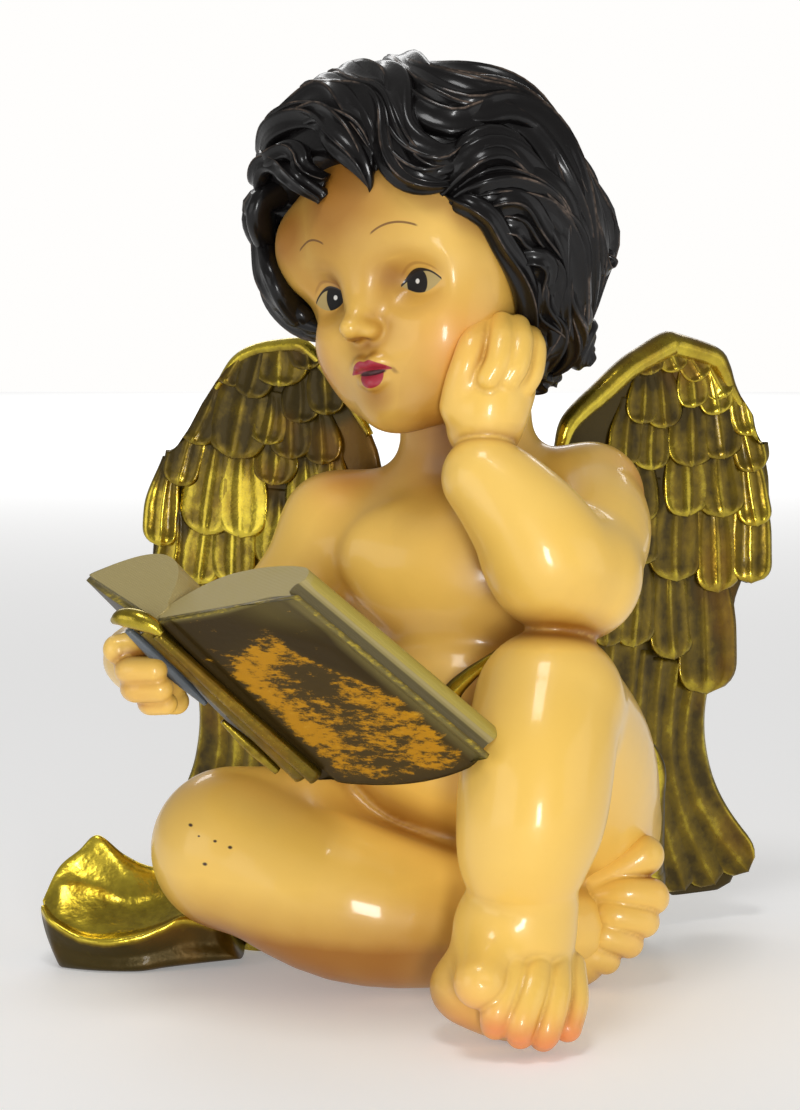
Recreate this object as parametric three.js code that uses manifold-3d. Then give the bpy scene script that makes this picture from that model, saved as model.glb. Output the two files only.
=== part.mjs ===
// Seated cherub reading a book: one painted resin casting.
// Millimetres, +Z up. The figure faces -Y, its right knee points to -X, and it rests on Z = 0.
// Every form is a closed loft or ellipsoid; manifold-3d joins them into one body and cuts it flat below.

import * as THREE from 'three';
import { mergeVertices } from 'three/addons/utils/BufferGeometryUtils.js';
import Module from 'manifold-3d';

const wasm = await Module();
wasm.setup();

// ---------------------------------------------------------------- driving dimensions

const SKULL = { centre: [12, 0, 295], radii: [53, 54, 54] };
const HEAD_TURN = { yaw: 36, pitch: 7, roll: 13 };
const HAIR = { radius: 68, centre: [-5, -3, 6], underFace: 47, hairline: 62, columns: 32, rows: 14, locks: 8, depth: 3.5 };
const WING = { top: 257, bottom: 13, thickness: 9, rim: 6, relief: 5, sweep: 50 };
const BOOK = { cover: 3, pages: 11, spine: 5 };
const LIMB_SIDES = 9;
const FACET_SWELL = 1.03;
const DIGIT_SIDES = 5;
const FLOOR_CUT = 400;

// ---------------------------------------------------------------- vectors and solids

const vec = (p) => new THREE.Vector3(p[0], p[1], p[2]);
const smooth = (t) => t * t * (3 - 2 * t);
const lerp = THREE.MathUtils.lerp;
const rad = THREE.MathUtils.degToRad;

/** Value of a row of evenly spaced samples at t in 0..1, eased between neighbours. */
function along(samples, t) {
  const place = THREE.MathUtils.clamp(t, 0, 1) * (samples.length - 1);
  const low = Math.min(Math.floor(place), samples.length - 2);
  return lerp(samples[low], samples[low + 1], smooth(place - low));
}

/** A manifold solid from a closed BufferGeometry, turned inside out if its faces point in. */
function solid(geometry) {
  geometry.deleteAttribute('normal');
  geometry.deleteAttribute('uv');
  const merged = mergeVertices(geometry, 1e-4);
  const points = merged.attributes.position.array;
  const faces = Uint32Array.from(merged.index.array);
  let volume = 0;
  for (let i = 0; i < faces.length; i += 3) {
    const [a, b, c] = [faces[i], faces[i + 1], faces[i + 2]].map((k) => new THREE.Vector3().fromArray(points, 3 * k));
    volume += a.dot(b.cross(c));
  }
  if (volume < 0) {
    for (let i = 0; i < faces.length; i += 3) {
      [faces[i + 1], faces[i + 2]] = [faces[i + 2], faces[i + 1]];
    }
  }
  const mesh = new wasm.Mesh({ numProp: 3, vertProperties: Float32Array.from(points), triVerts: faces });
  return new wasm.Manifold(mesh);
}

/** Closed skin over a stack of rings (arrays of Vector3 of one length), with a point at each end. */
function skin(rings, startPoint, endPoint) {
  const sides = rings[0].length;
  const points = [startPoint, ...rings.flat(), endPoint];
  const last = points.length - 1;
  const at = (ring, side) => 1 + ring * sides + (side % sides);
  const faces = [];
  for (let s = 0; s < sides; s += 1) {
    faces.push(0, at(0, s + 1), at(0, s));
    faces.push(last, at(rings.length - 1, s), at(rings.length - 1, s + 1));
  }
  for (let r = 0; r < rings.length - 1; r += 1) {
    for (let s = 0; s < sides; s += 1) {
      faces.push(at(r, s), at(r, s + 1), at(r + 1, s + 1));
      faces.push(at(r, s), at(r + 1, s + 1), at(r + 1, s));
    }
  }
  const geometry = new THREE.BufferGeometry();
  geometry.setAttribute('position', new THREE.Float32BufferAttribute(points.flatMap((p) => p.toArray()), 3));
  geometry.setIndex(faces);
  return solid(geometry);
}

/**
 * A limb with round ends: stations [x, y, z, radius] on one smooth curve.
 * flat squeezes the section along the given direction, for hands, feet and hair locks.
 */
function limb(stations, { sides = LIMB_SIDES, perSpan = 2, flat = 1, normal = [0, 0, 1] } = {}) {
  const curve = new THREE.CatmullRomCurve3(stations.map(vec), false, 'centripetal');
  const radii = stations.map((s) => s[3]);
  const steps = perSpan * (stations.length - 1);
  const caps = [0.65];
  const places = [
    ...caps.map((c) => ({ t: 0, slide: -Math.sqrt(1 - c * c), width: c })),
    ...Array.from({ length: steps + 1 }, (_, i) => ({ t: i / steps, slide: 0, width: 1 })),
    ...caps.map((c) => ({ t: 1, slide: Math.sqrt(1 - c * c), width: c })).reverse(),
  ];
  const flatWay = vec(normal).normalize();
  const rings = places.map(({ t, slide, width }) => {
    const radius = along(radii, t);
    const tangent = curve.getTangent(t);
    const side = new THREE.Vector3().crossVectors(flatWay, tangent).normalize();
    const rise = new THREE.Vector3().crossVectors(tangent, side).normalize();
    const centre = curve.getPoint(t).addScaledVector(tangent, slide * radius);
    return Array.from({ length: sides }, (_, i) => {
      const angle = (2 * Math.PI * (i + 0.5)) / sides;
      return centre.clone()
        .addScaledVector(side, Math.cos(angle) * radius * width * FACET_SWELL)
        .addScaledVector(rise, Math.sin(angle) * radius * width * flat * FACET_SWELL);
    });
  });
  const start = curve.getPoint(0).addScaledVector(curve.getTangent(0), -radii[0]);
  const end = curve.getPoint(1).addScaledVector(curve.getTangent(1), radii[radii.length - 1]);
  return skin(rings, start, end);
}

/** An ellipsoid at centre with three radii along X, Y, Z, optionally turned by a matrix. */
function ball(centre, radii, { turn = null, columns = 10, rows = 7 } = {}) {
  const geometry = new THREE.SphereGeometry(1, columns, rows);
  geometry.scale(...radii);
  if (turn) geometry.applyMatrix4(turn);
  geometry.translate(...centre);
  return solid(geometry);
}

/** Joins a list of solids. */
const join = (solids) => solids.reduce((all, one) => all.add(one));

/** The outer shell alone: sealed pockets left between joined forms are filled. */
function outerShell(manifold) {
  return manifold.decompose().reduce((best, one) => (one.volume() > best.volume() ? one : best));
}

// ---------------------------------------------------------------- body and limbs

function torso() {
  const pelvis = limb([[10, 28, 44, 42], [62, 26, 56, 43]], { normal: [0, 1, 0], perSpan: 1 });
  const trunk = limb(
    [[30, 26, 44, 50], [29, 14, 86, 57], [29, 10, 122, 54], [30, 12, 158, 49], [28, 17, 184, 33]],
    { normal: [0, 1, 0], flat: 0.84, sides: 12, perSpan: 1 },
  );
  const shoulders = limb([[-26, 26, 183, 21], [22, 20, 184, 30], [77, 11, 198, 20]], { sides: 8 });
  const breast = limb([[2, -12, 168, 19], [40, -16, 170, 19]], { sides: 8, perSpan: 1 });
  const neck = limb([[28, 20, 196, 27], [26, 12, 236, 25]], { normal: [0, 1, 0], perSpan: 1 });
  return join([trunk, pelvis, shoulders, breast, neck]);
}

function legs() {
  const leftThigh = limb([[70, 24, 62, 40], [66, -16, 92, 36], [56, -60, 122, 28]], { normal: [0, 0, 1] });
  const leftCalf = limb([[55, -65, 124, 27], [49, -82, 90, 29], [44, -84, 55, 21]], { normal: [0, 1, 0] });
  const rightThigh = limb([[6, 22, 42, 36], [-32, 14, 48, 35], [-67, -2, 53, 32]]);
  const rightCalf = limb([[-67, -12, 53, 31], [-20, -24, 36, 32], [28, -22, 27, 25], [68, -14, 23, 18]]);
  return join([leftThigh, leftCalf, rightThigh, rightCalf]);
}

function feet() {
  const leftHeel = limb([[44, -82, 50, 20], [32, -62, 20, 20]], { normal: [0, 1, 0], perSpan: 1 });
  const leftSole = limb([[30, -60, 18, 19], [34, -88, 17, 21], [44, -106, 12, 16]], { flat: 0.85 });
  const leftToes = [
    [[27, -98, 34, 10], [28, -113, 33, 9.5]],
    [[38, -108, 18, 6.5], [35, -119, 11, 6]],
    [[46, -109, 17, 6.5], [44, -120, 9, 6]],
    [[54, -106, 16, 6], [53, -117, 9, 5.5]],
    [[60, -100, 15, 5.5], [62, -110, 11, 5]],
  ];
  const rightSole = limb([[66, -16, 22, 18], [84, -14, 26, 17]], { flat: 0.9, normal: [0, 1, 0] });
  const rightToes = [
    [[90, -8, 48, 8], [102, -8, 50, 7.5]],
    [[92, -12, 38, 5.5], [104, -12, 36, 5.5]],
    [[90, -14, 31, 5.5], [101, -14, 27, 5.5]],
    [[87, -15, 24, 5], [96, -15, 19, 5]],
    [[83, -16, 17, 4.5], [88, -16, 13, 4.5]],
  ];
  const toes = [...leftToes, ...rightToes].map((toe) => limb(toe, { sides: DIGIT_SIDES, perSpan: 1 }));
  return join([leftHeel, leftSole, rightSole, ...toes]);
}

function arms() {
  const leftUpper = limb([[77, 10, 196, 20], [74, -20, 182, 21], [64, -48, 171, 22]]);
  const leftFore = limb([[63, -54, 172, 23], [48, -56, 195, 21], [34, -50, 216, 16]], { normal: [0, 1, 0] });
  const leftPalm = limb([[33, -47, 226, 16], [38, -42, 244, 17]], { normal: [0, 1, 0], flat: 0.85 });
  const leftFingers = [
    [[31, -44, 248, 5.5], [33, -46, 262, 5.5], [37, -46, 262, 4.5]],
    [[37, -48, 258, 5.5], [39, -48, 266, 5.5]],
    [[44, -47, 256, 5.5], [46, -46, 265, 5.5]],
    [[50, -44, 252, 5.5], [52, -42, 260, 5]],
  ];
  const rightUpper = limb([[-28, 25, 181, 20], [-36, 12, 160, 17], [-46, -8, 141, 15]], { normal: [0, 1, 0] });
  const rightFore = limb([[-46, -10, 139, 15], [-62, -38, 136, 15], [-79, -62, 134, 11]]);
  const rightPalm = limb([[-82, -64, 134, 13], [-94, -68, 134, 12]], { flat: 0.9 });
  const rightFingers = [0, 1, 2, 3].map((i) => [
    [-90 + 2 * i, -77, 144 - 6.4 * i, 5],
    [-102 + 3 * i, -75, 144 - 6.6 * i, 5],
    [-103 + 4 * i, -65, 144 - 6.6 * i, 5],
  ]);
  const fingers = [...leftFingers, ...rightFingers].map((finger) => limb(finger, { sides: DIGIT_SIDES, perSpan: 1 }));
  return join([leftUpper, leftFore, leftPalm, rightUpper, rightFore, rightPalm, ...fingers]);
}

// ---------------------------------------------------------------- head and hair

/** Head frame: side = the figure's left, up = crown, front = face, after yaw, pitch and roll. */
function headFrame() {
  const yaw = rad(HEAD_TURN.yaw);
  const pitch = rad(HEAD_TURN.pitch);
  const roll = rad(HEAD_TURN.roll);
  const front = vec([-Math.sin(yaw) * Math.cos(pitch), -Math.cos(yaw) * Math.cos(pitch), -Math.sin(pitch)]);
  const level = vec([Math.cos(yaw), -Math.sin(yaw), 0]);
  const upright = new THREE.Vector3().crossVectors(front, level);
  const side = level.clone().multiplyScalar(Math.cos(roll)).addScaledVector(upright, Math.sin(roll));
  const up = upright.clone().multiplyScalar(Math.cos(roll)).addScaledVector(level, -Math.sin(roll));
  return { side, front, up };
}

const HEAD = headFrame();

/** World point from head coordinates: s to the figure's left, f forward, u up, from the skull centre. */
function headPoint(s, f, u) {
  return vec(SKULL.centre).addScaledVector(HEAD.side, s).addScaledVector(HEAD.front, f).addScaledVector(HEAD.up, u);
}

const headTurn = new THREE.Matrix4().makeBasis(HEAD.side, HEAD.front.clone().negate(), HEAD.up);
const headStation = (s, f, u, r) => [...headPoint(s, f, u).toArray(), r];
const headBall = (s, f, u, radii, detail = {}) => ball(headPoint(s, f, u).toArray(), radii, { turn: headTurn, ...detail });

function face() {
  const skull = headBall(0, 0, 0, SKULL.radii, { columns: 15, rows: 10 });
  const cheeks = [-1, 1].map((way) => headBall(15 * way, 27, -33, [23, 20, 20], { columns: 9, rows: 6 }));
  const jaw = headBall(0, 24, -44, [24, 20, 19], { columns: 9, rows: 6 });
  const chin = headBall(0, 37, -54, [11, 9, 8], { columns: 7, rows: 5 });
  const nose = limb([headStation(0, 46, -12, 4), headStation(0, 54, -24, 5)], { sides: 6, perSpan: 1 });
  const lips = limb(
    [headStation(-8, 45, -39, 2), headStation(0, 49, -38, 3.6), headStation(8, 45, -39, 2)],
    { sides: 6, perSpan: 2 },
  );
  const ears = [-1, 1].map((way) => headBall(53 * way, -2, -14, [5, 9, 12], { columns: 6, rows: 4 }));
  return join([skull, ...cheeks, jaw, chin, nose, lips, ...ears]);
}

/** Point at a radius from the skull centre: azimuth from the face towards the figure's left, and elevation. */
function headDirection(azimuth, elevation, radius) {
  const a = rad(azimuth);
  const e = rad(elevation);
  const [s, f, u] = HAIR.centre;
  return headPoint(
    radius * Math.cos(e) * Math.sin(a) + s,
    radius * Math.cos(e) * Math.cos(a) + f,
    radius * Math.sin(e) + u,
  );
}

/** How much hair there is in a direction: none over the face, all of it past the hairline. */
function hairCover(azimuth, elevation) {
  const faceTilt = rad(-16);
  const a = rad(azimuth);
  const e = rad(elevation);
  const towardsFace = Math.cos(e) * Math.cos(a) * Math.cos(faceTilt) + Math.sin(e) * Math.sin(faceTilt);
  const angle = THREE.MathUtils.radToDeg(Math.acos(THREE.MathUtils.clamp(towardsFace, -1, 1)));
  return THREE.MathUtils.smoothstep(angle, HAIR.hairline - 4, HAIR.hairline + 6);
}

/** The mass of hair: a globe that waves in locks running down from the crown, sunk into the skull at the face. */
function hairMass() {
  const { columns, rows, locks, depth, radius, underFace } = HAIR;
  const ring = (r) => {
    const elevation = 82 - (140 * r) / (rows - 1);
    return Array.from({ length: columns }, (_, c) => {
      const azimuth = (360 * c) / columns;
      const swing = 24 * Math.sin(rad(3.4 * elevation));
      const lock = Math.cos(rad(locks * azimuth + 2.6 * swing)) * Math.cos(rad(elevation));
      const cover = hairCover(azimuth, elevation);
      return headDirection(azimuth, elevation, lerp(underFace, radius + depth * lock, cover));
    });
  };
  const rings = Array.from({ length: rows }, (_, r) => ring(r));
  return skin(rings, headDirection(0, 90, radius), headDirection(180, -80, radius * 0.7));
}

/** One lock lying on the hair, from a high to a low elevation, leaning sideways as it falls. */
function lock([azimuth, high, low, lean, width]) {
  return limb([0, 0.5, 1].map((t) => [
    ...headDirection(azimuth + lean * t * t, lerp(high, low, t), HAIR.radius - 3 + t).toArray(), width * (1 - 0.4 * t * t),
  ]), { sides: 5, perSpan: 1 });
}

function hair() {
  const fringe = [[-52, 56, 24, -10, 9], [-22, 62, 36, 14, 10], [22, 64, 44, 18, 9], [48, 46, 20, 14, 9]];
  const curls = [[72, 2, -34, 16, 12], [100, -8, -42, -10, 12], [-76, -4, -34, -10, 9], [-108, -14, -44, 8, 9]];
  return join([hairMass(), ...[...fringe, ...curls].map(lock)]);
}

// ---------------------------------------------------------------- wings

/** Reach of the inner and outer edge from the wing's root line, evenly spaced from top to bottom. */
const INNER_REACH = [65, 34, 19, 17, 21, 27, 31, 35, 39, 43, 51, 61, 75];
const OUTER_REACH = [75, 100, 109, 110, 109, 108, 103, 98, 90, 87, 90, 100, 101];

/** Where each row of feathers ends, as a share of the wing's height from its top. */
const FEATHER_TIPS = [0.1, 0.2, 0.31, 0.44, 0.6, 1];

/** Height of the overlapping feathers: it climbs along each row and drops behind its tips. */
function featherLift(t) {
  const row = FEATHER_TIPS.findIndex((tip) => t <= tip);
  const start = row > 0 ? FEATHER_TIPS[row - 1] : 0;
  return (WING.relief * (t - start)) / (FEATHER_TIPS[Math.max(row, 0)] - start);
}

/**
 * A wing: a plate that curves back towards its outer edge, in rows of overlapping feathers, with a rolled rim.
 * side is +1 for the figure's left wing; pull draws the top of the wing in towards the head.
 */
function wing(side, rootX, rootY, pull) {
  const place = (t, across, lift) => {
    const drawn = pull * smooth(THREE.MathUtils.clamp(1 - t / 0.35, 0, 1));
    const reach = lerp(along(INNER_REACH, t), along(OUTER_REACH, t), across) - drawn;
    const y = rootY + WING.sweep * smooth(THREE.MathUtils.clamp(reach / 110, 0, 1)) - lift;
    return vec([rootX + side * reach, y, lerp(WING.top, WING.bottom, t)]);
  };
  const half = WING.thickness / 2;
  const frontColumns = [0, 0.08, 0.25, 0.42, 0.58, 0.75, 0.92, 1];
  const backColumns = [1, 0.6, 0.3, 0];
  const ring = (t, scallop) => [
    ...frontColumns.map((a, i) => {
      const edge = i === 0 || i === frontColumns.length - 1;
      const shift = scallop * (i % 2 ? 0.016 : -0.016);
      return place(THREE.MathUtils.clamp(t + shift, 0.01, 0.99), a, edge ? 0 : half + featherLift(t));
    }),
    ...backColumns.map((a) => place(t, a, a % 1 ? -half : -1)),
  ];
  const rings = [ring(0.03, 0)];
  FEATHER_TIPS.slice(0, -1).forEach((tip) => rings.push(ring(tip, 1), ring(tip + 0.012, 1)));
  [0.74, 0.88, 0.97].forEach((t) => rings.push(ring(t, t > 0.9 ? 1 : 0)));
  const plate = skin(rings, place(0, 0.5, 0), place(1, 0.5, 0));
  const rimStop = (t, across, share) => [...place(t, across, 1).toArray(), WING.rim * share];
  const rim = limb(
    [rimStop(0.2, 0.02, 0.7), rimStop(0.06, 0, 1), rimStop(0.015, 0.6, 1), rimStop(0.09, 0.97, 0.8), rimStop(0.3, 0.98, 0.5)],
    { sides: 5, perSpan: 1, normal: [0, 1, 0] },
  );
  const root = limb([
    [rootX - side * 6, rootY - 26, 176, 16],
    [...place(0.3, 0.1, -2).toArray(), 12],
  ], { sides: 8, perSpan: 1 });
  return join([plate, rim, root]);
}

// ---------------------------------------------------------------- book

/** One leaf-shaped loft: a section in the head plane carried to the same section in the tail plane. */
function pageLoft(headOrigin, tailOrigin, headAcross, tailAcross, upward, section) {
  const point = (origin, across, [w, n]) => vec(origin).addScaledVector(across, w).addScaledVector(upward, n);
  const rings = [0, 0.5, 1].map((t) => section.map((spot) => (
    point(headOrigin, headAcross, spot).lerp(point(tailOrigin, tailAcross, spot), t)
  )));
  const middle = (ring) => ring.reduce((sum, p) => sum.add(p), vec([0, 0, 0])).divideScalar(ring.length);
  return skin(rings, middle(rings[0]), middle(rings[rings.length - 1]));
}

function book() {
  const spineHead = [-89, -95, 158];
  const spineTail = [-34, -70, 96];
  const rightHead = vec([-36, -129, 171]).sub(vec(spineHead));
  const rightTail = vec([32, -104, 110]).sub(vec(spineTail));
  const leftHead = vec([-119, -46, 168]).sub(vec(spineHead));
  const leftTail = vec([-66, -22, 108]).sub(vec(spineTail));
  const length = vec(spineTail).sub(vec(spineHead));
  const rightUp = new THREE.Vector3().crossVectors(rightHead, length).normalize();
  const leftUp = new THREE.Vector3().crossVectors(length, leftHead).normalize();
  const coverSection = [[0, 0], [1, 0], [1, BOOK.cover], [0, BOOK.cover]];
  const pageSection = [
    [0, 0.5], [0.5, 0.5], [0.96, 0.5], [0.98, BOOK.pages], [0.8, BOOK.pages + 3],
    [0.5, BOOK.pages + 4], [0.25, BOOK.pages + 1], [0, 5],
  ];
  const halves = [
    pageLoft(spineHead, spineTail, rightHead, rightTail, rightUp, coverSection),
    pageLoft(spineHead, spineTail, rightHead, rightTail, rightUp, pageSection),
    pageLoft(spineHead, spineTail, leftHead, leftTail, leftUp, coverSection),
    pageLoft(spineHead, spineTail, leftHead, leftTail, leftUp, pageSection),
  ];
  const spine = limb([[...spineHead, BOOK.spine], [...spineTail, BOOK.spine]], { sides: 8, perSpan: 1 });
  const web = limb([[30, -102, 108, 4], [38, -100, 104, 6]], { sides: 6, perSpan: 1 });
  return join([...halves, spine, web]);
}

// ---------------------------------------------------------------- drapery

/** The cloth under and behind the seat: a low mound with folds that run out to its hem. */
function seatCloth() {
  const turns = 26;
  const centre = [14, 52];
  const layers = [[0.55, 40], [0.86, 26], [1, 9], [0.98, -3]];
  const rings = layers.map(([share, height]) => Array.from({ length: turns }, (_, i) => {
    const angle = (2 * Math.PI * i) / turns;
    const fold = 1 + 0.06 * Math.cos(7 * angle + 1) * share;
    const x = centre[0] + 98 * Math.cos(angle) * share * fold;
    const y = centre[1] + 46 * Math.sin(angle) * share * fold;
    return vec([x, y, height * (1 + 0.22 * Math.cos(9 * angle) * share)]);
  }));
  return skin(rings, vec([...centre, 44]), vec([...centre, -3]));
}

function drapery() {
  const leftScoop = limb([[-66, 40, 10, 16], [-104, 20, 14, 16], [-128, 16, 20, 17], [-133, 20, 38, 10], [-120, 24, 50, 5]], {
    sides: 8, normal: [0, 1, 0],
  });
  const leftHem = limb([[-140, 24, 14, 9], [-112, 18, 10, 10], [-76, 30, 8, 11]], { sides: 7, perSpan: 1 });
  const rightFold = limb([[98, 44, 24, 16], [101, 36, 58, 9], [99, 30, 88, 4]], { sides: 7, perSpan: 1, normal: [0, 1, 0] });
  const lapFold = limb([[16, -34, 88, 12], [27, -38, 112, 7], [38, -42, 125, 4]], { sides: 7, perSpan: 1, normal: [0, 1, 0] });
  return join([seatCloth(), leftScoop, leftHem, rightFold, lapFold]);
}

// ---------------------------------------------------------------- the casting

function casting() {
  const figure = join([torso(), legs(), feet(), arms(), face(), hair()]);
  const whole = join([figure, wing(1, 47, 44, 0), wing(-1, 2, 52, 10), book(), drapery()]);
  const ground = solid(new THREE.BoxGeometry(FLOOR_CUT, FLOOR_CUT, FLOOR_CUT).translate(0, 0, -FLOOR_CUT / 2));
  return outerShell(whole.subtract(ground));
}

/** BufferGeometry from a manifold solid, moved so that its box stands on the origin by its bottom centre. */
function finished(manifold) {
  const mesh = manifold.getMesh();
  const geometry = new THREE.BufferGeometry();
  geometry.setAttribute('position', new THREE.Float32BufferAttribute(mesh.vertProperties, 3));
  geometry.setIndex(Array.from(mesh.triVerts));
  geometry.computeBoundingBox();
  const { min, max } = geometry.boundingBox;
  geometry.translate(-(min.x + max.x) / 2, -(min.y + max.y) / 2, -min.z);
  geometry.computeVertexNormals();
  return geometry;
}

const resin = new THREE.MeshStandardMaterial({ color: 0xe0b070, roughness: 0.3, metalness: 0 });
const statue = new THREE.Mesh(finished(casting()), resin);
statue.name = 'cherub_statue';

const part = new THREE.Group();
part.add(statue);

export default part;
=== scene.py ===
"""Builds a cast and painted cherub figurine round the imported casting: flesh, curls, wings, book and gold
cloth.

Shapes are worked out in a modelling frame in millimetres (x to the viewer's right, y away, z up, the ground
at 0)
and are placed in the casting's box, in metres, when a piece is made.
"""

import math

import bpy
import numpy as np
from bpy.props import FloatProperty, FloatVectorProperty, IntProperty, PointerProperty
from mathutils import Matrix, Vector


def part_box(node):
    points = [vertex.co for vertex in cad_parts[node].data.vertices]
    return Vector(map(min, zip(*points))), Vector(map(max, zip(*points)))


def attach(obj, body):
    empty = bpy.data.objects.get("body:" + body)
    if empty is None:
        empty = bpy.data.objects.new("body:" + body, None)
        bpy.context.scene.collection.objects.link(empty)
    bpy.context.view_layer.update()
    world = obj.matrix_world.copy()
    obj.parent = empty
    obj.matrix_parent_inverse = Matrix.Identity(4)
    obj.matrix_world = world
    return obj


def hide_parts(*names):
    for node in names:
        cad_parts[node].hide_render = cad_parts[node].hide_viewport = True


bl_info = {
    "name": "Reading Cherub Figurine",
    "version": (1, 0, 0),
    "blender": (4, 5, 0),
    "location": "View3D > Sidebar > Cherub",
    "description": "Builds a painted cherub figurine with curls, wings, a book and gold cloth",
    "category": "Object",
}

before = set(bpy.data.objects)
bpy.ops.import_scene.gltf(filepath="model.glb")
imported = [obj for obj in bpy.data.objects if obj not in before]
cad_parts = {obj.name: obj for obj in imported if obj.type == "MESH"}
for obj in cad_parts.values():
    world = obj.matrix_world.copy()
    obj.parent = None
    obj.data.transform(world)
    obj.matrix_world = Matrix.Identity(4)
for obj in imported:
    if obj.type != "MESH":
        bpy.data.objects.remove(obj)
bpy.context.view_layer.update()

CASTING = "cherub_statue"
BODY = "root"
MODEL_CENTRE = np.array([4.44, -12.59, 0.0])
MILLIMETRE = 0.001
SEED = 7


# ---------------------------------------------------------------- small geometry

def placed(points):
    """Modelling millimetres to the part's metres: the middle of the casting's outline goes to its box's
    middle."""
    low, high = (np.array(corner, float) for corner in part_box(CASTING))
    seat = np.array([(low[0] + high[0]) / 2, (low[1] + high[1]) / 2, low[2]])
    return (points - MODEL_CENTRE) * MILLIMETRE + seat


def unit(vectors):
    """Each vector over its own length."""
    return vectors / np.maximum(np.linalg.norm(vectors, axis=-1, keepdims=True), 1e-9)


def smooth(value):
    """Three t squared less two t cubed, with t held between 0 and 1."""
    t = np.clip(value, 0, 1)
    return t * t * (3 - 2 * t)


def curve(points, steps):
    """A smooth run through the points: each span is the cubic whose end slopes are half its neighbours'
    step."""
    p = np.asarray(points, float)
    p = np.vstack([2 * p[0] - p[1], p, 2 * p[-1] - p[-2]])
    spans = len(p) - 3
    t = np.linspace(0, 1, steps, endpoint=False)[None, :, None]
    a, b, c, d = (p[i:spans + i, None] for i in range(4))
    inside = b + 0.5 * t * (c - a + t * (2 * a - 5 * b + 4 * c - d + t * (3 * (b - c) + d - a)))
    return np.vstack([inside.reshape(-1, p.shape[1]), p[-2]])


def evenly(points, count):
    """The same smooth run, in equal steps of its own length."""
    run = curve(points, 16)
    walked = np.concatenate([[0], np.cumsum(np.linalg.norm(np.diff(run[:, :3], axis=0), axis=1))])
    stops = np.linspace(0, walked[-1], count)
    return np.column_stack([np.interp(stops, walked, run[:, k]) for k in range(run.shape[1])])


def along(heights, values, at):
    """Reads a listed profile at the given heights, in straight steps."""
    order = np.argsort(heights)
    return np.interp(at, np.asarray(heights, float)[order], np.asarray(values, float)[order])


def head_axes(yaw, nod, tilt):
    """The head's side, front and up directions after a turn about the upright, a nod and a tilt, in
    degrees."""
    y, n, t = (math.radians(angle) for angle in (yaw, nod, tilt))
    front = np.array([-math.sin(y) * math.cos(n), -math.cos(y) * math.cos(n), -math.sin(n)])
    level = np.array([math.cos(y), -math.sin(y), 0.0])
    upright = np.cross(front, level)
    side = level * math.cos(t) + upright * math.sin(t)
    up = upright * math.cos(t) - level * math.sin(t)
    return np.array([side, front, up])


HEAD_CENTRE = np.array([11.0, 0.0, 294.0])
HEAD = head_axes(37, 3, 9)


# ---------------------------------------------------------------- modelling in clay

UPRIGHT = 2  # the axis that a level cut looks along
FRONTWARD = 1
FAR = 40.0
WINDOW = 13.0
LIMB_STEPS = 5
SETTLES = 2
LEAST_SLOPE = 0.2
NESTED = 0.98  # past this share of the reach one ball all but holds the other
HOLLOW_REACHES = (3.0, 15.0)

class Form:
    """One solid of the modelling: how far a point is from it, the box it fills, how softly it joins, if it
    cuts."""

    def __init__(self, distance, low, high, soft, cuts=False):
        self.distance = distance
        self.low = np.asarray(low, float)
        self.high = np.asarray(high, float)
        self.soft = soft
        self.cuts = cuts

    def onto(self, field, x, y, z):
        """The lower of the two distances, less a quarter of the join where they come close, and so for a
        cut."""
        own = self.distance(x, y, z)
        if self.cuts:
            field = -field
        share = np.clip(1 - np.abs(field - own) / self.soft, 0, 1)
        joined = np.minimum(field, own) - share * share * self.soft / 4
        return -joined if self.cuts else joined


def cone(x, y, z, start, end):
    """Distance to the skin stretched over two balls: to either ball past its end, to the slant side
    between."""
    ax, ay, az, ra = (float(value) for value in start)
    dx, dy, dz = (float(end[k] - start[k]) for k in range(3))
    rb = float(end[3])
    px, py, pz = x - ax, y - ay, z - az
    reach = dx * dx + dy * dy + dz * dz
    taper = ra - rb
    square = px * px + py * py + pz * pz
    if taper * taper > NESTED * reach:
        other = (px - dx) ** 2 + (py - dy) ** 2 + (pz - dz) ** 2
        return np.minimum(np.sqrt(square) - ra, np.sqrt(other) - rb)
    slant = reach - taper * taper
    run = px * dx + py * dy + pz * dz
    off = np.maximum(reach * (reach * square - run * run), 0)
    past = run - reach
    edge = math.copysign(taper * taper, taper) * off
    side = (np.sqrt(off * (slant / reach)) + run * taper) / reach - ra
    start_ball = np.sqrt(off + run * run * reach) / reach - ra
    end_ball = np.sqrt(off + past * past * reach) / reach - rb
    near_start = np.sign(run) * slant * run * run * reach < edge
    near_end = np.sign(past) * slant * past * past * reach > edge
    return np.where(near_end, end_ball, np.where(near_start, start_ball, side))


def limb(stations, soft, cuts=False, flat=None):
    """A roll that swells and narrows along a smooth run of (x, y, z, radius): the least distance to short
    cones.

    flat is a direction and a share: the space is stretched along it, so the roll is that much thinner there.
    """
    run = curve(stations, LIMB_STEPS)
    middle = run[:, :3].mean(axis=0)

    def distance(x, y, z):
        if flat is not None:
            (fx, fy, fz), share = flat
            lean = ((x - middle[0]) * fx + (y - middle[1]) * fy + (z - middle[2]) * fz) * (1 / share - 1)
            x, y, z = x + lean * fx, y + lean * fy, z + lean * fz
        best = cone(x, y, z, run[0], run[1])
        for start, end in zip(run[1:-1], run[2:]):
            best = np.minimum(best, cone(x, y, z, start, end))
        return best

    low = (run[:, :3] - run[:, 3:]).min(axis=0)
    high = (run[:, :3] + run[:, 3:]).max(axis=0)
    return Form(distance, low, high, soft, cuts)


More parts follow.
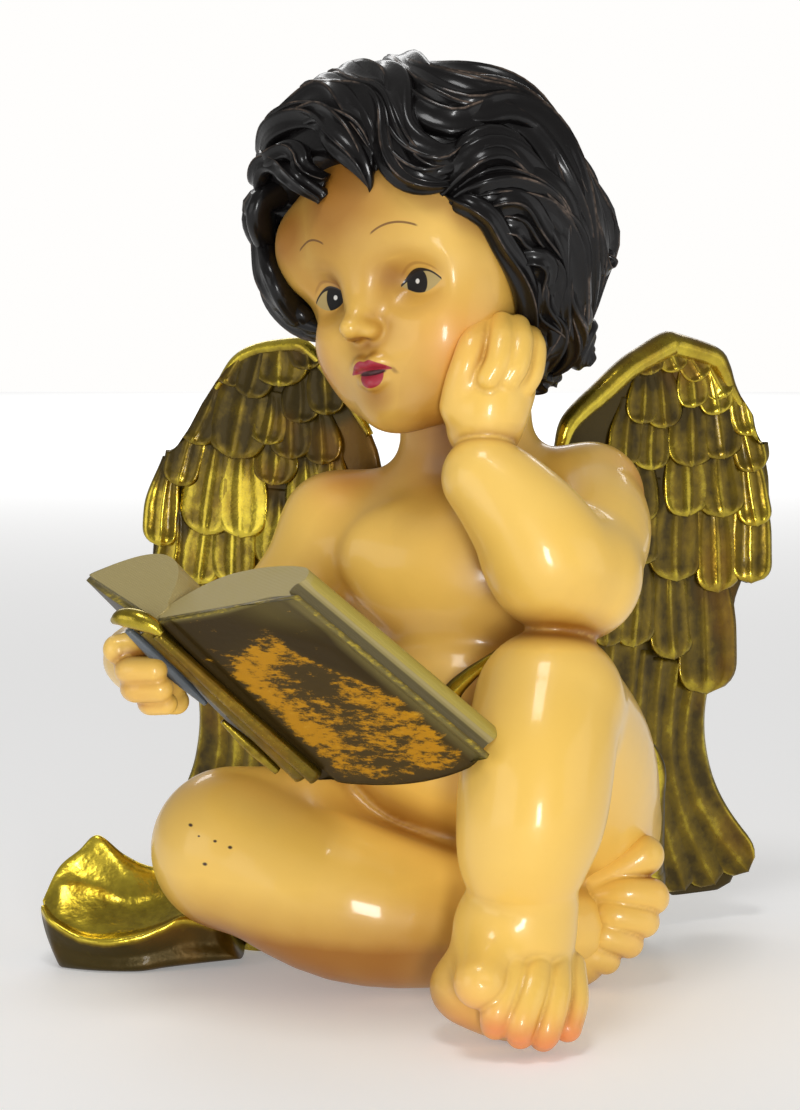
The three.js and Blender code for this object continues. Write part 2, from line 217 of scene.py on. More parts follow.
def egg(centre, radii, soft, cuts=False):
    """An ellipsoid: k (k - 1) / g, where k is the point's share of the radii and g the same of their
    squares."""
    cx, cy, cz = (float(value) for value in centre)
    rx, ry, rz = (float(value) for value in radii)

    def distance(x, y, z):
        px, py, pz = (x - cx) / rx, (y - cy) / ry, (z - cz) / rz
        share = np.sqrt(px * px + py * py + pz * pz)
        slope = np.sqrt((px / rx) ** 2 + (py / ry) ** 2 + (pz / rz) ** 2)
        return share * (share - 1) / np.maximum(slope, 1e-6)

    return Form(distance, np.array(centre, float) - radii, np.array(centre, float) + radii, soft, cuts)


def halfspace(axis, level, keep_above, low, high, soft=0.4):
    """Cuts off what lies below a plane square to an axis, or above it, within a box: the signed distance to
    it."""
    sign = 1.0 if keep_above else -1.0

    def distance(x, y, z):
        return sign * ((x, y, z)[axis] - level) + 0 * (x + y + z)

    return Form(distance, low, high, soft, cuts=True)


def window_of(form, step):
    """How far round its box a form is worked out."""
    return max(form.soft, WINDOW) + 3 * step + 2


def field_at(points, forms, step):
    """The joined distance at loose points: each form acts on the points near its box."""
    field = np.full(len(points), FAR)
    for form in forms:
        reach = window_of(form, step)
        near = np.flatnonzero(np.all((points > form.low - reach) & (points < form.high + reach), axis=1))
        if len(near):
            field[near] = form.onto(field[near], *points[near].T)
    return field


def slope_at(points, forms, step, base):
    """The field's slope, from three small steps along the axes."""
    nudge = 0.08
    return np.column_stack([
        (field_at(points + nudge * np.eye(3)[axis], forms, step) - base) / nudge for axis in range(3)
    ])


def crossing_cells(field):
    """Each cell that the zero surface cuts, with the mean of the points where it cuts the cell's edges."""
    shape = tuple(n - 1 for n in field.shape)
    total = np.zeros((3,) + shape, np.float32)
    count = np.zeros(shape, np.float32)
    edges = []
    for axis in range(3):
        before = np.moveaxis(field, axis, 0)[:-1]
        after = np.moveaxis(field, axis, 0)[1:]
        crossed = (before < 0) != (after < 0)
        share = np.where(crossed, before / np.where(crossed, before - after, 1), 0)
        edges.append((crossed, before < 0))
        others = [k for k in range(3) if k != axis]
        for p in (0, 1):
            for q in (0, 1):
                part = crossed[:, p:crossed.shape[1] - 1 + p, q:crossed.shape[2] - 1 + q]
                place = share[:, p:crossed.shape[1] - 1 + p, q:crossed.shape[2] - 1 + q]
                hit = np.moveaxis(part, 0, axis).astype(np.float32)
                count += hit
                total[axis] += np.moveaxis(place, 0, axis)
                total[others[0]] += hit * p
                total[others[1]] += hit * q
    return total, count, edges


def surface_of(field):
    """One corner in each cut cell, and a four-sided face across each cut edge, turned to face outwards."""
    total, count, edges = crossing_cells(field)
    cells = np.argwhere(count > 0)
    number = np.full(count.shape, -1, np.int64)
    number[tuple(cells.T)] = np.arange(len(cells))
    inside = tuple(cells.T)
    corners = cells + (total[(slice(None),) + inside] / count[inside]).T
    faces = []
    for axis, (crossed, low_inside) in enumerate(edges):
        ids = np.moveaxis(number, axis, 0)
        hit = crossed[:, 1:-1, 1:-1]
        i, j, k = np.nonzero(hit)
        quad = np.column_stack([ids[i, j, k], ids[i, j + 1, k], ids[i, j + 1, k + 1], ids[i, j, k + 1]])
        outward = low_inside[:, 1:-1, 1:-1][i, j, k]
        if axis == 1:
            outward = ~outward
        faces.append(np.where(outward[:, None], quad, quad[:, ::-1]))
    return corners, np.vstack(faces)


def neighbour_mean(points, faces):
    """Each corner's mean over the corners that it shares a face edge with."""
    a = faces.ravel()
    b = np.roll(faces, -1, axis=1).ravel()
    ends = np.concatenate([a, b])
    starts = np.concatenate([b, a])
    count = np.maximum(np.bincount(ends, minlength=len(points)), 1)
    return np.column_stack([
        np.bincount(ends, points[starts, k], len(points)) / count for k in range(3)
    ])


def sculpt(forms, step, floor=True):
    """Joins the forms on a grid, takes the zero surface as a mesh, and settles it onto the true surface.

    Returns the corners, the faces, and how sunken each corner is: 0 in the open, 1 deep in a fold.
    """
    solids = [form for form in forms if not form.cuts]
    low = np.min([form.low for form in solids], axis=0) - 3 * step
    high = np.max([form.high for form in solids], axis=0) + 3 * step
    axes = [np.arange(low[k], high[k] + step, step).astype(np.float32) for k in range(3)]
    field = np.full([len(axis) for axis in axes], FAR, np.float32)
    for form in forms:
        reach = window_of(form, step)
        spans = [np.searchsorted(axes[k], (form.low[k] - reach, form.high[k] + reach)) for k in range(3)]
        if any(b - a < 1 for a, b in spans):
            continue
        block = tuple(slice(a, b) for a, b in spans)
        x, y, z = np.ix_(*[axes[k][block[k]] for k in range(3)])
        field[block] = form.onto(field[block], x, y, z)
    corners, faces = surface_of(field)
    points = corners * step + low
    for _ in range(SETTLES):
        points = points + 0.5 * (neighbour_mean(points, faces) - points)
        base = field_at(points, forms, step)
        slope = slope_at(points, forms, step, base)
        size = np.maximum((slope ** 2).sum(axis=1), LEAST_SLOPE)
        move = np.clip(base / size, -step, step)
        points = points - slope * move[:, None]
    normals = unit(slope_at(points, forms, step, field_at(points, forms, step)))
    open_air = []
    for reach in HOLLOW_REACHES:
        ahead = points + normals * reach
        clear = field_at(ahead, forms, step)
        # closeness to the ground counts as sunken too, so the painted shade deepens low down
        if floor:
            clear = np.minimum(clear, ahead[:, 2] * 0.5 + 2)
        open_air.append(np.clip(clear / reach, 0, 1))
    return points, faces, 1 - np.mean(open_air, axis=0)


# ---------------------------------------------------------------- surfaces on a grid

def grid_faces(rows, columns, closed):
    """Four-sided faces of a grid of points, wrapped round its columns where it is closed."""
    number = np.arange(rows * columns).reshape(rows, columns)
    across = np.roll(number, -1, axis=1) if closed else number[:, 1:]
    here = number if closed else number[:, :-1]
    return np.stack([here[:-1], here[1:], across[1:], across[:-1]], axis=-1).reshape(-1, 4)


def with_middles(grid):
    """Adds each roll's two end middles, the means of its first and last rings, after its ring points."""
    middles = np.stack([grid[:, 0].mean(axis=1), grid[:, -1].mean(axis=1)], axis=1)
    return np.concatenate([grid.reshape(len(grid), -1, *grid.shape[3:]), middles], axis=1)


def closed_rolls(rings, **values):
    """Closes many rolls at once: rings is (rolls, rows, around, 3), and each end gets a fan to its ring's
    middle.

    A value is given for each ring point, or for all of them. Returns the points, the faces and the values.
    """
    rolls, rows, around, _ = rings.shape
    size = rows * around + 2
    ring = np.arange(around)
    after = np.roll(ring, -1)
    last = size - 2 - around
    fan = np.vstack([np.column_stack([np.full(around, size - 2), ring, after]),
                     np.column_stack([np.full(around, size - 1), after + last, ring + last])])
    shift = (np.arange(rolls) * size)[:, None, None]
    faces = [(grid_faces(rows, around, True)[None] + shift).reshape(-1, 4),
             (fan[None] + shift).reshape(-1, 3)]
    spread = {key: with_middles(np.broadcast_to(value, rings.shape[:-1])).ravel()
              for key, value in values.items()}
    return with_middles(rings).reshape(-1, 3), faces, spread


def carried(paths, across, outward, section):
    """A closed profile carried along paths: path + across * section x + outward * section y."""
    return (paths[..., None, :] + across[..., None, :] * section[..., 0, None]
            + outward[..., None, :] * section[..., 1, None])


def full_turn(around):
    """Equal angles once round, in radians."""
    return np.linspace(0, 2 * math.pi, around, endpoint=False)


def tube(stations, around, count, flat=1.0):
    """A round roll along a smooth run of (x, y, z, radius), its rings set square to the run."""
    run = evenly(stations, count)
    path = run[:, :3]
    forward = unit(np.gradient(path, axis=0))
    across = unit(np.cross(forward, (0.0, 1.0, 0.0)))
    outward = np.cross(across, forward)
    turn = full_turn(around)
    circle = np.stack([np.cos(turn), flat * np.sin(turn)], axis=-1)
    return carried(path, across, outward, run[:, 3, None, None] * circle)[None]


def signed_volume(points, faces):
    """A sixth of the sum of each triangle's corner product: negative where a closed skin is inside out."""
    total = 0.0
    for group in faces:
        a = points[group[:, 0]]
        for k in range(1, group.shape[1] - 1):
            total += np.einsum("ij,ij->", a, np.cross(points[group[:, k]], points[group[:, k + 1]]))
    return total / 6


def make_piece(name, shape, material, sharp=None):
    """Puts points, faces and values into a mesh, turns it right side out, hangs it on the root body and hides
    the casting.
    """
    points, faces, values = shape
    if signed_volume(points, faces) < 0:
        faces = [group[:, ::-1] for group in faces]
    mesh = bpy.data.meshes.new(name)
    mesh.vertices.add(len(points))
    mesh.vertices.foreach_set("co", placed(points).astype(np.float32).ravel())
    sizes = np.concatenate([np.full(len(group), group.shape[1]) for group in faces])
    mesh.loops.add(int(sizes.sum()))
    mesh.loops.foreach_set("vertex_index",
                           np.concatenate([group.ravel() for group in faces]).astype(np.int32))
    mesh.polygons.add(len(sizes))
    mesh.polygons.foreach_set("loop_start", np.concatenate([[0], np.cumsum(sizes)[:-1]]).astype(np.int32))
    mesh.polygons.foreach_set("use_smooth", np.ones(len(sizes), bool))
    mesh.update(calc_edges=True)
    mesh.validate()
    for key, numbers in values.items():
        mesh.attributes.new(key, "FLOAT", "POINT").data.foreach_set("value", numbers.astype(np.float32))
    if sharp is not None:
        mesh.set_sharp_from_angle(angle=math.radians(sharp))
    mesh.materials.append(material)
    piece = bpy.data.objects.new(name, mesh)
    bpy.context.scene.collection.objects.link(piece)
    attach(piece, BODY)
    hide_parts(CASTING)


def gather(parts):
    """Joins several sets of points, faces and values into one."""
    points, faces, values = zip(*parts)
    starts = np.cumsum([0] + [len(own) for own in points])
    joined = [np.vstack([own[k] + start for own, start in zip(faces, starts)]) for k in range(len(faces[0]))]
    return np.vstack(points), joined, {key: np.concatenate([own[key] for own in values]) for key in values[0]}


# ---------------------------------------------------------------- shader expressions

class Wire:
    """A value in a material. Arithmetic on it adds the Math nodes."""

    def __init__(self, paint, socket):
        self.paint = paint
        self.socket = socket

    def math(self, operation, *others):
        return self.paint.node("ShaderNodeMath", {"operation": operation}, dict(enumerate((self,) + others)))

    def __add__(self, other):
        return self.math("ADD", other)

    def __mul__(self, other):
        return self.math("MULTIPLY", other)

    def __sub__(self, other):
        return self.math("SUBTRACT", other)

    def __truediv__(self, other):
        return self.math("DIVIDE", other)

    def __pow__(self, other):
        return self.math("POWER", other)

    def __rsub__(self, other):
        return self.paint.node("ShaderNodeMath", {"operation": "SUBTRACT"}, {0: other, 1: self})

    def __rtruediv__(self, other):
        return self.paint.node("ShaderNodeMath", {"operation": "DIVIDE"}, {0: other, 1: self})

    __radd__ = __add__
    __rmul__ = __mul__

    def least(self, other):
        return self.math("MINIMUM", other)

    def most(self, other):
        return self.math("MAXIMUM", other)

    def size(self):
        return self.math("ABSOLUTE")

    def step(self, low, high):
        """0 at low and 1 at high, eased between; low may be the larger."""
        if low > high:
            return 1 - self.step(high, low)
        return self.paint.node("ShaderNodeMapRange", {"interpolation_type": "SMOOTHSTEP"},
                               {0: self, 1: low, 2: high, 3: 0.0, 4: 1.0})


class Paint:
    """A material under construction: one Principled shader and the nodes that feed it."""

    def __init__(self, name, **constants):
        self.material = bpy.data.materials.new(name)
        self.material.use_nodes = True
        self.tree = self.material.node_tree
        self.shader = next(node for node in self.tree.nodes if node.type == "BSDF_PRINCIPLED")
        for key, value in constants.items():
            self.shader.inputs[key.replace("_", " ").title().replace("Ior", "IOR")].default_value = value

    def feed(self, socket, value):
        if isinstance(value, Wire):
            self.tree.links.new(value.socket, socket)
        elif isinstance(value, (tuple, list)) and len(value) == 3 and socket.type == "RGBA":
            socket.default_value = (*value, 1.0)
        else:
            socket.default_value = value

    def node(self, kind, settings=None, inputs=None, output=0):
        made = self.tree.nodes.new(kind)
        for key, value in (settings or {}).items():
            if key == "stops":
                self.set_stops(made.color_ramp, value)
            else:
                setattr(made, key, value)
        for key, value in (inputs or {}).items():
            self.feed(made.inputs[key], value)
        return Wire(self, made.outputs[output])

    def set_stops(self, ramp, stops):
        while len(ramp.elements) < len(stops):
            ramp.elements.new(0.5)
        for element, (place, colour) in zip(ramp.elements, stops):
            element.position = place
            element.color = (*colour, 1.0)

    def set(self, **inputs):
        for key, value in inputs.items():
            self.feed(self.shader.inputs[key.replace("_", " ").title()], value)

    def place(self):
        return self.node("ShaderNodeTexCoord", output="Object")

    def value(self, name):
        return self.node("ShaderNodeAttribute", {"attribute_name": name}, output="Fac")

    def noise(self, scale, detail, roughness=0.5, stretch=None):
        place = self.place()
        if stretch is not None:
            place = self.node("ShaderNodeMapping", {}, {"Vector": place, "Scale": stretch})
        return self.node("ShaderNodeTexNoise", {}, {"Vector": place, "Scale": scale, "Detail": detail,
                                                    "Roughness": roughness})

    def mix(self, share, first, second):
        """The first colour where the share is 0 and the second where it is 1."""
        return self.node("ShaderNodeMix", {"data_type": "RGBA"}, {0: share, 6: first, 7: second}, 2)

    def bump(self, height, distance, strength):
        return self.node("ShaderNodeBump", {}, {"Height": height, "Distance": distance, "Strength": strength})

    def dot(self, vector, direction, centre):
        """The reach of a place along a direction, measured from a centre."""
        offset = float(np.dot(direction, centre))
        product = self.node("ShaderNodeVectorMath", {"operation": "DOT_PRODUCT"},
                            {0: vector, 1: tuple(float(v) for v in direction)}, "Value")
        return product - offset


# ---------------------------------------------------------------- sizes and colours

class FleshSettings(bpy.types.PropertyGroup):
    mesh_step: FloatProperty(name="Mesh step", description="Spacing of the body's mesh, in millimetres",
                             default=1.90, min=1.0, max=4.0)
    fine_step: FloatProperty(name="Fine step",
                             description="Spacing of the mesh on hands and feet, in millimetres",
                             default=0.98, min=0.5, max=3.0)
    face_step: FloatProperty(name="Face step", description="Spacing of the mesh on the face, in millimetres",
                             default=0.77, min=0.4, max=3.0)
    skin: FloatVectorProperty(name="Skin", description="Flesh paint", subtype="COLOR",
                              default=(0.89, 0.56, 0.108), min=0, max=1)
    # the colour of the painted shade in the folds and hollows
    shade: FloatVectorProperty(name="Shade", description="Warm wash in the folds", subtype="COLOR",
                               default=(0.34, 0.13, 0.009), min=0, max=1)
    blush: FloatVectorProperty(name="Blush", description="Airbrushed pink of cheeks and toes",
                               subtype="COLOR",
                               default=(0.80, 0.27, 0.075), min=0, max=1)
    lips: FloatVectorProperty(name="Lips", description="Lip paint", subtype="COLOR",
                              default=(0.36, 0.02, 0.04), min=0, max=1)
    gloss: FloatProperty(name="Varnish", description="Weight of the clear varnish", default=0.5, min=0, max=1,
                         subtype="FACTOR")


class HairSettings(bpy.types.PropertyGroup):
    fullness: FloatProperty(name="Fullness", description="Height of each lock, in millimetres", default=6.2,
                            min=1.0, max=12.0)
    strands: IntProperty(name="Strands", description="Ridges across each lock", default=2, min=1, max=6)
    colour: FloatVectorProperty(name="Colour", description="Hair paint", subtype="COLOR",
                                default=(0.0045, 0.0038, 0.0038), min=0, max=1)
    # the ridge colour is dry-brushed paint that also serves as a painted highlight on the crests
    ridge: FloatVectorProperty(name="Ridge", description="Dry-brushed paint on the ridges", subtype="COLOR",
                               default=(0.19, 0.135, 0.10), min=0, max=1)


class GoldSettings(bpy.types.PropertyGroup):
    bright: FloatVectorProperty(name="Bright gold", description="Gold paint on edges and ridges",
                                subtype="COLOR",
                                default=(0.80, 0.62, 0.055), min=0, max=1)
    middle: FloatVectorProperty(name="Old gold", description="Gold paint on open faces", subtype="COLOR",
                                default=(0.19, 0.125, 0.008), min=0, max=1)
    hollow: FloatVectorProperty(name="Patina", description="Dark wash left in the hollows", subtype="COLOR",
                                default=(0.052, 0.034, 0.004), min=0, max=1)
    flutes: FloatProperty(name="Flutes", description="Depth of the grooves in a feather, in millimetres",
                          default=0.32, min=0.0, max=2.0)


class BookSettings(bpy.types.PropertyGroup):
    cover: FloatVectorProperty(name="Cover", description="Cover paint", subtype="COLOR",
                               default=(0.036, 0.022, 0.005), min=0, max=1)
    wear: FloatVectorProperty(name="Wear", description="Orange gold rubbed through on the cover",
                              subtype="COLOR",
                              default=(0.50, 0.235, 0.008), min=0, max=1)
    paper: FloatVectorProperty(name="Pages", description="Page paint", subtype="COLOR",
                               default=(0.46, 0.37, 0.15), min=0, max=1)


class StageSettings(bpy.types.PropertyGroup):
    distance: FloatProperty(name="Camera distance", description="From the middle of the figure", default=1.0,
                            min=0.3, max=5.0, unit="LENGTH")
    height: FloatProperty(name="Camera height", description="Angle above the horizon", subtype="ANGLE",
                          default=math.radians(6.0))
    lens: FloatProperty(name="Lens", description="Focal length in millimetres", default=81.1, min=20, max=300)
    key: FloatProperty(name="Key light", description="Power of the front light", default=7.4, unit="POWER",
                       min=0)


# ---------------------------------------------------------------- flesh

def forearm():
    """The figure's left forearm, from the elbow on the knee up to the wrist."""
    return limb([(67, -47, 168, 24), (57, -56, 175, 25), (49, -58, 188, 22), (40, -57, 199, 19),
                 (32, -55, 207, 16.5)], 3.5)


def shin():
    """The calf, with the narrower ridge of the shin bone down its front."""
    return [
        limb([(56, -64, 123, 27), (52, -75, 106, 28.5), (49, -82, 86, 28), (46, -85, 72, 25),
              (45.5, -85, 64, 22)], 4),
        limb([(55, -78, 119, 13), (52, -89, 106, 15), (50, -96, 88, 15), (48, -96, 74, 13)], 9),
    ]


def trunk_forms():
    """Hips, belly, chest, shoulders and neck. The chest meets the belly in a shallow crease."""
    return [
        limb([(10, 28, 44, 42), (62, 26, 56, 43)], 14),
        egg((30, 12, 102), (56, 48, 50), 16),
        egg((30, 15, 162), (50, 40, 36), 10),
        limb([(-24, 24, 181, 20), (24, 20, 184, 27), (76, 11, 195, 20)], 16, flat=((0, 1, 0), 0.95)),
        egg((4, -6, 172), (24, 8, 17), 24),
        egg((46, -9, 174), (22, 8, 17), 24),
        limb([(28, 18, 196, 28), (26, 13, 238, 26)], 12),
    ]


def arm_forms():
    """The left upper arm, and the right arm, which goes round the book's free edge to the hand behind it."""
    return [
        limb([(77, 10, 195, 20), (77, -18, 183, 21.5), (69, -44, 170, 22)], 7),
        limb([(-27, 24, 181, 20), (-40, 14, 161, 18), (-58, 2, 142, 15.5)], 13),
        limb([(-57, 2, 140, 15), (-86, -8, 137, 14.5), (-103, -33, 136, 12), (-95, -60, 133, 10.5)], 6),
    ]


def leg_forms():
    """The figure's left thigh, drawn up with its knee on high, and the right leg folded flat in front."""
    return [
        limb([(68, 24, 60, 40), (66, -16, 92, 35), (57, -58, 121, 28)], 5),
        limb([(6, 22, 42, 36), (-32, 14, 48, 36), (-68, -2, 53, 32)], 5),
        limb([(-66, -10, 55, 30), (-20, -24, 37, 32), (28, -22, 28, 25), (66, -15, 24, 18)], 8),
        halfspace(UPRIGHT, 0.0, True, (-130, -140, -60), (150, 120, 0.5)),
    ]


def body_forms():
    """The whole body. Its forearm and shin stop where the hand's and the foot's own meshes take over."""
    return [
        forearm(),
        halfspace(UPRIGHT, 214, False, (0, -90, 213), (80, -20, 260), 10),
        *shin(),
        halfspace(UPRIGHT, 64, True, (0, -130, 20), (90, -40, 65), 10),
        *trunk_forms(), *arm_forms(), *leg_forms(),
    ]


def left_foot_forms():
    """The foot that stands out in front: a high instep, a ball, and toes that curl down over the edge."""
    digits = [
        limb([(42.5, -92, 35, 6.6), (40, -107, 28, 6.6), (35, -115, 19, 6.0), (34.5, -112.5, 13, 5.5)], 1.4),
        limb([(50, -92, 34, 6.6), (48, -108, 26, 6.5), (43.5, -116, 15, 5.9), (43.5, -113, 9.5, 5.3)], 1.4),
        limb([(57, -90, 31, 6.5), (56, -106, 22, 6.3), (53, -113, 11.5, 5.7), (52, -110, 7.5, 5.2)], 1.4),
        limb([(63, -86, 27, 6.2), (63.5, -98, 18, 5.9), (61, -106, 10, 5.4)], 1.4),
    ]
    return [
        *shin(),
        halfspace(UPRIGHT, 88, False, (0, -130, 87), (90, -40, 160), 10),
        limb([(45.5, -83, 50, 21), (43, -83, 38, 22.5), (41, -84, 26, 21)], 2),
        egg((31, -88, 20), (20, 18, 15.5), 8),
        egg((46, -91, 15), (19, 16, 14), 8),
        limb([(38, -82, 41, 17), (31.5, -103, 32, 11.2), (29, -112, 28.5, 9.8)], 5),
        egg((31.5, -121.5, 34.5), (4.0, 1.2, 4.0), 0.6, cuts=True),
        *digits,
        halfspace(UPRIGHT, 0.0, True, (0, -140, -30), (80, -50, 0.5)),
    ]


def right_foot_forms():
    """The foot tucked behind the shin, its toes stacked and pointing to the side."""
    digits = [
        limb([(78, -10, 41, 9.0), (90, -12, 48, 8.4), (96.5, -12, 52, 8.4), (98, -12, 52.5, 7.8)], 1.6),
        limb([(80, -15, 36, 7.0), (90, -18, 38.5, 7.4), (99.5, -17, 37.5, 7.0), (101, -16, 36, 6.6)], 0.9),
        limb([(78, -17, 29, 7.0), (86, -20, 30, 7.4), (95, -19, 28.5, 7.0), (97, -18, 27, 6.6)], 0.9),
        limb([(75, -18, 21.5, 6.8), (82, -21, 22, 7.0), (89, -20, 20, 6.6), (91, -19, 18.5, 6.2)], 0.9),
        limb([(71, -18, 14, 6.6), (77, -21, 14, 6.6), (82, -20, 12, 6.0)], 0.9),
    ]
    return [
        limb([(52, -16, 23, 20), (62, -15, 25, 18), (68, -14, 27, 15)], 5),
        egg((68, -15, 16), (17, 14, 17), 2.5),
        *digits,
        halfspace(UPRIGHT, 0.0, True, (20, -45, -30), (130, 20, 0.5)),
    ]


def left_hand_forms():
    """The hand under the cheek, closed loosely: its fingers fold over the heel of the palm."""
    return [
        forearm(),
        halfspace(UPRIGHT, 190, True, (0, -90, 120), (110, -10, 191), 10),
        limb([(32, -45, 226, 14.5), (33, -46, 232, 16), (35, -44, 240, 16.5)], 1.6),
        egg((38, -40, 250), (13, 11, 13), 6),
        egg((31, -48, 250), (7, 7, 11), 4),
        limb([(31.5, -42, 262, 5.4), (27.5, -52, 257, 5.6), (25, -55, 250, 5.8), (23, -53, 242, 6.4),
              (22, -50, 234, 7)], 4),
        limb([(38.5, -41, 264, 5.3), (38, -52, 259, 5.3), (36.5, -58, 250.5, 5.1), (33, -59, 244.5, 4.7)],
             1.5),
        limb([(44.5, -39, 263, 5.2), (45, -50, 258, 5.2), (43.5, -56, 249.5, 5.0), (40.5, -57, 244, 4.6)],
             1.5),
        limb([(49.5, -35, 259, 5.0), (50.5, -44, 255, 5.0), (49.5, -50, 247, 4.8), (47, -52, 242, 4.6)], 1.5),
    ]


def right_hand_forms():
    """The hand behind the cover: its four fingers lie one over the other and turn back at the outer side."""
    return [
        limb([(-96, -56, 133, 10.5), (-93, -63, 134, 12), (-91, -68, 134, 12)], 4),
        limb([(-88, -68, 142, 6), (-98, -78, 145.5, 6), (-104, -81, 145.5, 5.6)], 1.6),
        limb([(-90, -70, 136, 5.5), (-99, -78, 138, 5.4), (-99, -86, 138.5, 5.2), (-90, -89, 139, 5)], 1.2),
        limb([(-88, -70, 129, 5.5), (-97, -77, 131, 5.4), (-97, -85, 131.5, 5.2), (-88, -88, 132, 5)], 1.2),
        limb([(-84, -68, 124, 5), (-92, -75, 125, 4.6), (-92, -82, 125.5, 4.4), (-86, -85, 126, 4.2)], 1.2),
    ]


def head_forms():
    """The face in the head's own frame: x to the figure's left, y forward, z up."""
    def both(make):
        return [make(-1), make(1)]

    return [
        egg((0, -2, 2), (53, 54, 54), 6),
        egg((-34, 26, 6), (17, 17, 20), 6),
        *both(lambda way: egg((way * 16.5, 24, -34), (22.5, 21, 20), 12)),
        *both(lambda way: egg((way * 10, 20, -48), (22, 22, 21), 12)),
        egg((0, 35.5, -59), (13.5, 11, 10.5), 10),
        egg((0, 37, -43), (15, 12, 12), 8),
        *both(lambda way: egg((way * 22, 54, -14.5), (13, 18.2, 9), 9, cuts=True)),
        limb([(0, 39.5, -5, 6.6), (0, 45.5, -17, 5.6), (0, 53.5, -25.6, 4.0), (0, 56.8, -27.6, 2.8)], 9),
        egg((0, 56.2, -28.6), (3.8, 4.4, 3.2), 4),
        *both(lambda way: egg((way * 4.4, 50.6, -30.6), (2.9, 4.2, 2.5), 4)),
        *both(lambda way: egg((way * 2.8, 53.4, -33.8), (1.5, 2.6, 1.3), 1.0, cuts=True)),
        limb([(0, 53.2, -36, 0.7), (0, 51.8, -39.5, 0.8)], 2, cuts=True),
        *both(lambda way: egg((way * 22.3, 28.5, -15.5), (11, 8.8, 8.4), 3)),
        *both(lambda way: limb([(way * 12.5, 34.6, -14.5, 0.9), (way * 16, 36.8, -10.6, 1.3),
                                (way * 22.3, 37.0, -8.6, 1.4), (way * 28.5, 34.6, -10.4, 1.3),
                                (way * 33.5, 30.4, -14.8, 0.8)], 1.6)),
        limb([(-8.6, 46.2, -43.8, 1.2), (-4.2, 49.2, -42.0, 2.6), (0, 49.8, -42.6, 2.2),
              (4.2, 49.2, -42.0, 2.6),
              (8.6, 46.2, -43.8, 1.2)], 2),
        limb([(-4.8, 47, -49.0, 2.0), (0, 48.6, -50.0, 2.9), (4.8, 47, -49.0, 2.0)], 2),
        limb([(-6.4, 49.0, -45.6, 0.6), (0, 51.6, -46.2, 1.5), (6.4, 49.0, -45.6, 0.6)], 1.2, cuts=True),
        egg((-41, 40, -21), (7, 9, 8), 7, cuts=True),
        halfspace(FRONTWARD, -14.0, True, (-80, -80, -90), (80, -13, 80)),
    ]


FLESH = [
    # piece, forms, the setting that spaces its mesh
    ("body", body_forms, "mesh_step"),
    ("left_foot", left_foot_forms, "fine_step"),
    ("right_foot", right_foot_forms, "fine_step"),
    ("left_hand", left_hand_forms, "fine_step"),
    ("right_hand", right_hand_forms, "fine_step"),
    ("face", head_forms, "face_step"),
]


def on_head(points):
    """Places given in the head's own frame, in the modelling frame."""
    return HEAD_CENTRE + np.asarray(points, float) @ HEAD


# spots of airbrushed colour: centre, spread, strength
BLUSHES = [
    (on_head((30, 34, -40)), 15, 0.40), (on_head((-28, 34, -38)), 11, 0.40),
    ((34, -118, 13), 8, 0.9), ((43, -119, 8), 9, 1.0), ((54, -116, 6), 9, 1.0), ((62, -109, 8), 9, 1.0),
    ((26, -113, 25), 8, 0.7), ((102, -14, 38), 7, 0.4), ((98, -16, 28), 7, 0.4), ((92, -18, 20), 7, 0.4),
    ((-22, 14, 203), 15, 0.5), ((98, 4, 198), 17, 0.6), ((22, -100, 10), 12, 0.4),
    ((-98, -88, 130), 16, 0.15),
]
# spots of painted shade: centre, spread, strength
SHADES = [
    (on_head((-4, 48, 24)), 30, 1.15), (on_head((11, 42, -10)), 9, 0.75), (on_head((-11, 42, -10)), 9, 0.85),
    (on_head((0, 46, -56)), 9, 0.75), (on_head((4, 24, -66)), 21, 1.10), (on_head((-31, 32, -48)), 15, 0.60),
    (on_head((30, 30, 28)), 18, 0.65), (on_head((0, 54, -34)), 3.6, 0.95), (on_head((40, 20, 4)), 12, 0.55),
    ((-51, -14, 299), 19, 1.30), ((14, -10, 222), 25, 1.30), ((-98, -86, 134), 18, 0.45),
    ((96, -22, 158), 18, 0.35), ((-14, -12, 146), 20, 0.30), ((30, -44, 160), 12, 0.35),
    ((30, -44, 196), 12, 0.30), ((12, -88, 20), 17, 0.85), ((62, -62, 168), 20, 0.55),
    ((20, -72, 60), 13, 0.35),
]


def spots_at(points, spots):
    """How much colour a place gets from a list of spots, as for the blush and the painted shade: the most of
    its spots, each fading as a bell with distance.
    """
    share = np.zeros(len(points))
    for centre, spread, strength in spots:
        gone = ((points - np.asarray(centre, float)) ** 2).sum(axis=1) / spread ** 2
        share = np.maximum(share, strength * np.exp(-gone))
    return share


def shade_at(points):
    """Painted shade in brown: in hollows, beside the hairline, and low down on the folded leg."""
    away = unit(points - HAIR_CENTRE)
    azimuth = np.degrees(np.arctan2(away[:, 0], -away[:, 1]))
    elevation = np.degrees(np.arcsin(away[:, 2]))
    beside = 0.75 * np.exp(-((hairline_at(azimuth) - elevation - 3) / 7.0) ** 2)
    beside = beside * smooth((52 - azimuth) / 8) * smooth((points[:, 2] - 236) / 20)
    # painted shade low down near the floor, on the folded leg
    low = 1.35 * smooth((60 - points[:, 2]) / 48)
    low = low * smooth((points[:, 1] + 72) / 14) * smooth((70 - points[:, 0]) / 12)
    return np.maximum(np.maximum(spots_at(points, SHADES), low), beside)


# ---------------------------------------------------------------- hair

HAIR_CENTRE = np.array([13.5, 6.0, 304.5])
HAIR_RADIUS = 60.5
HAIR_CORE = 38.0
# azimuth, elevation, rise, spread in degrees
HAIR_SWELLS = [(92, -2, 6, 15), (90, 30, -8, 20), (90, 70, -4, 22), (0, 82, -3, 24), (90, -46, 16, 26),
               (-90, 34, 8, 28), (-92, -6, 6, 26), (0, 18, -3, 30), (150, -30, 6, 45), (-150, -30, 4, 45)]
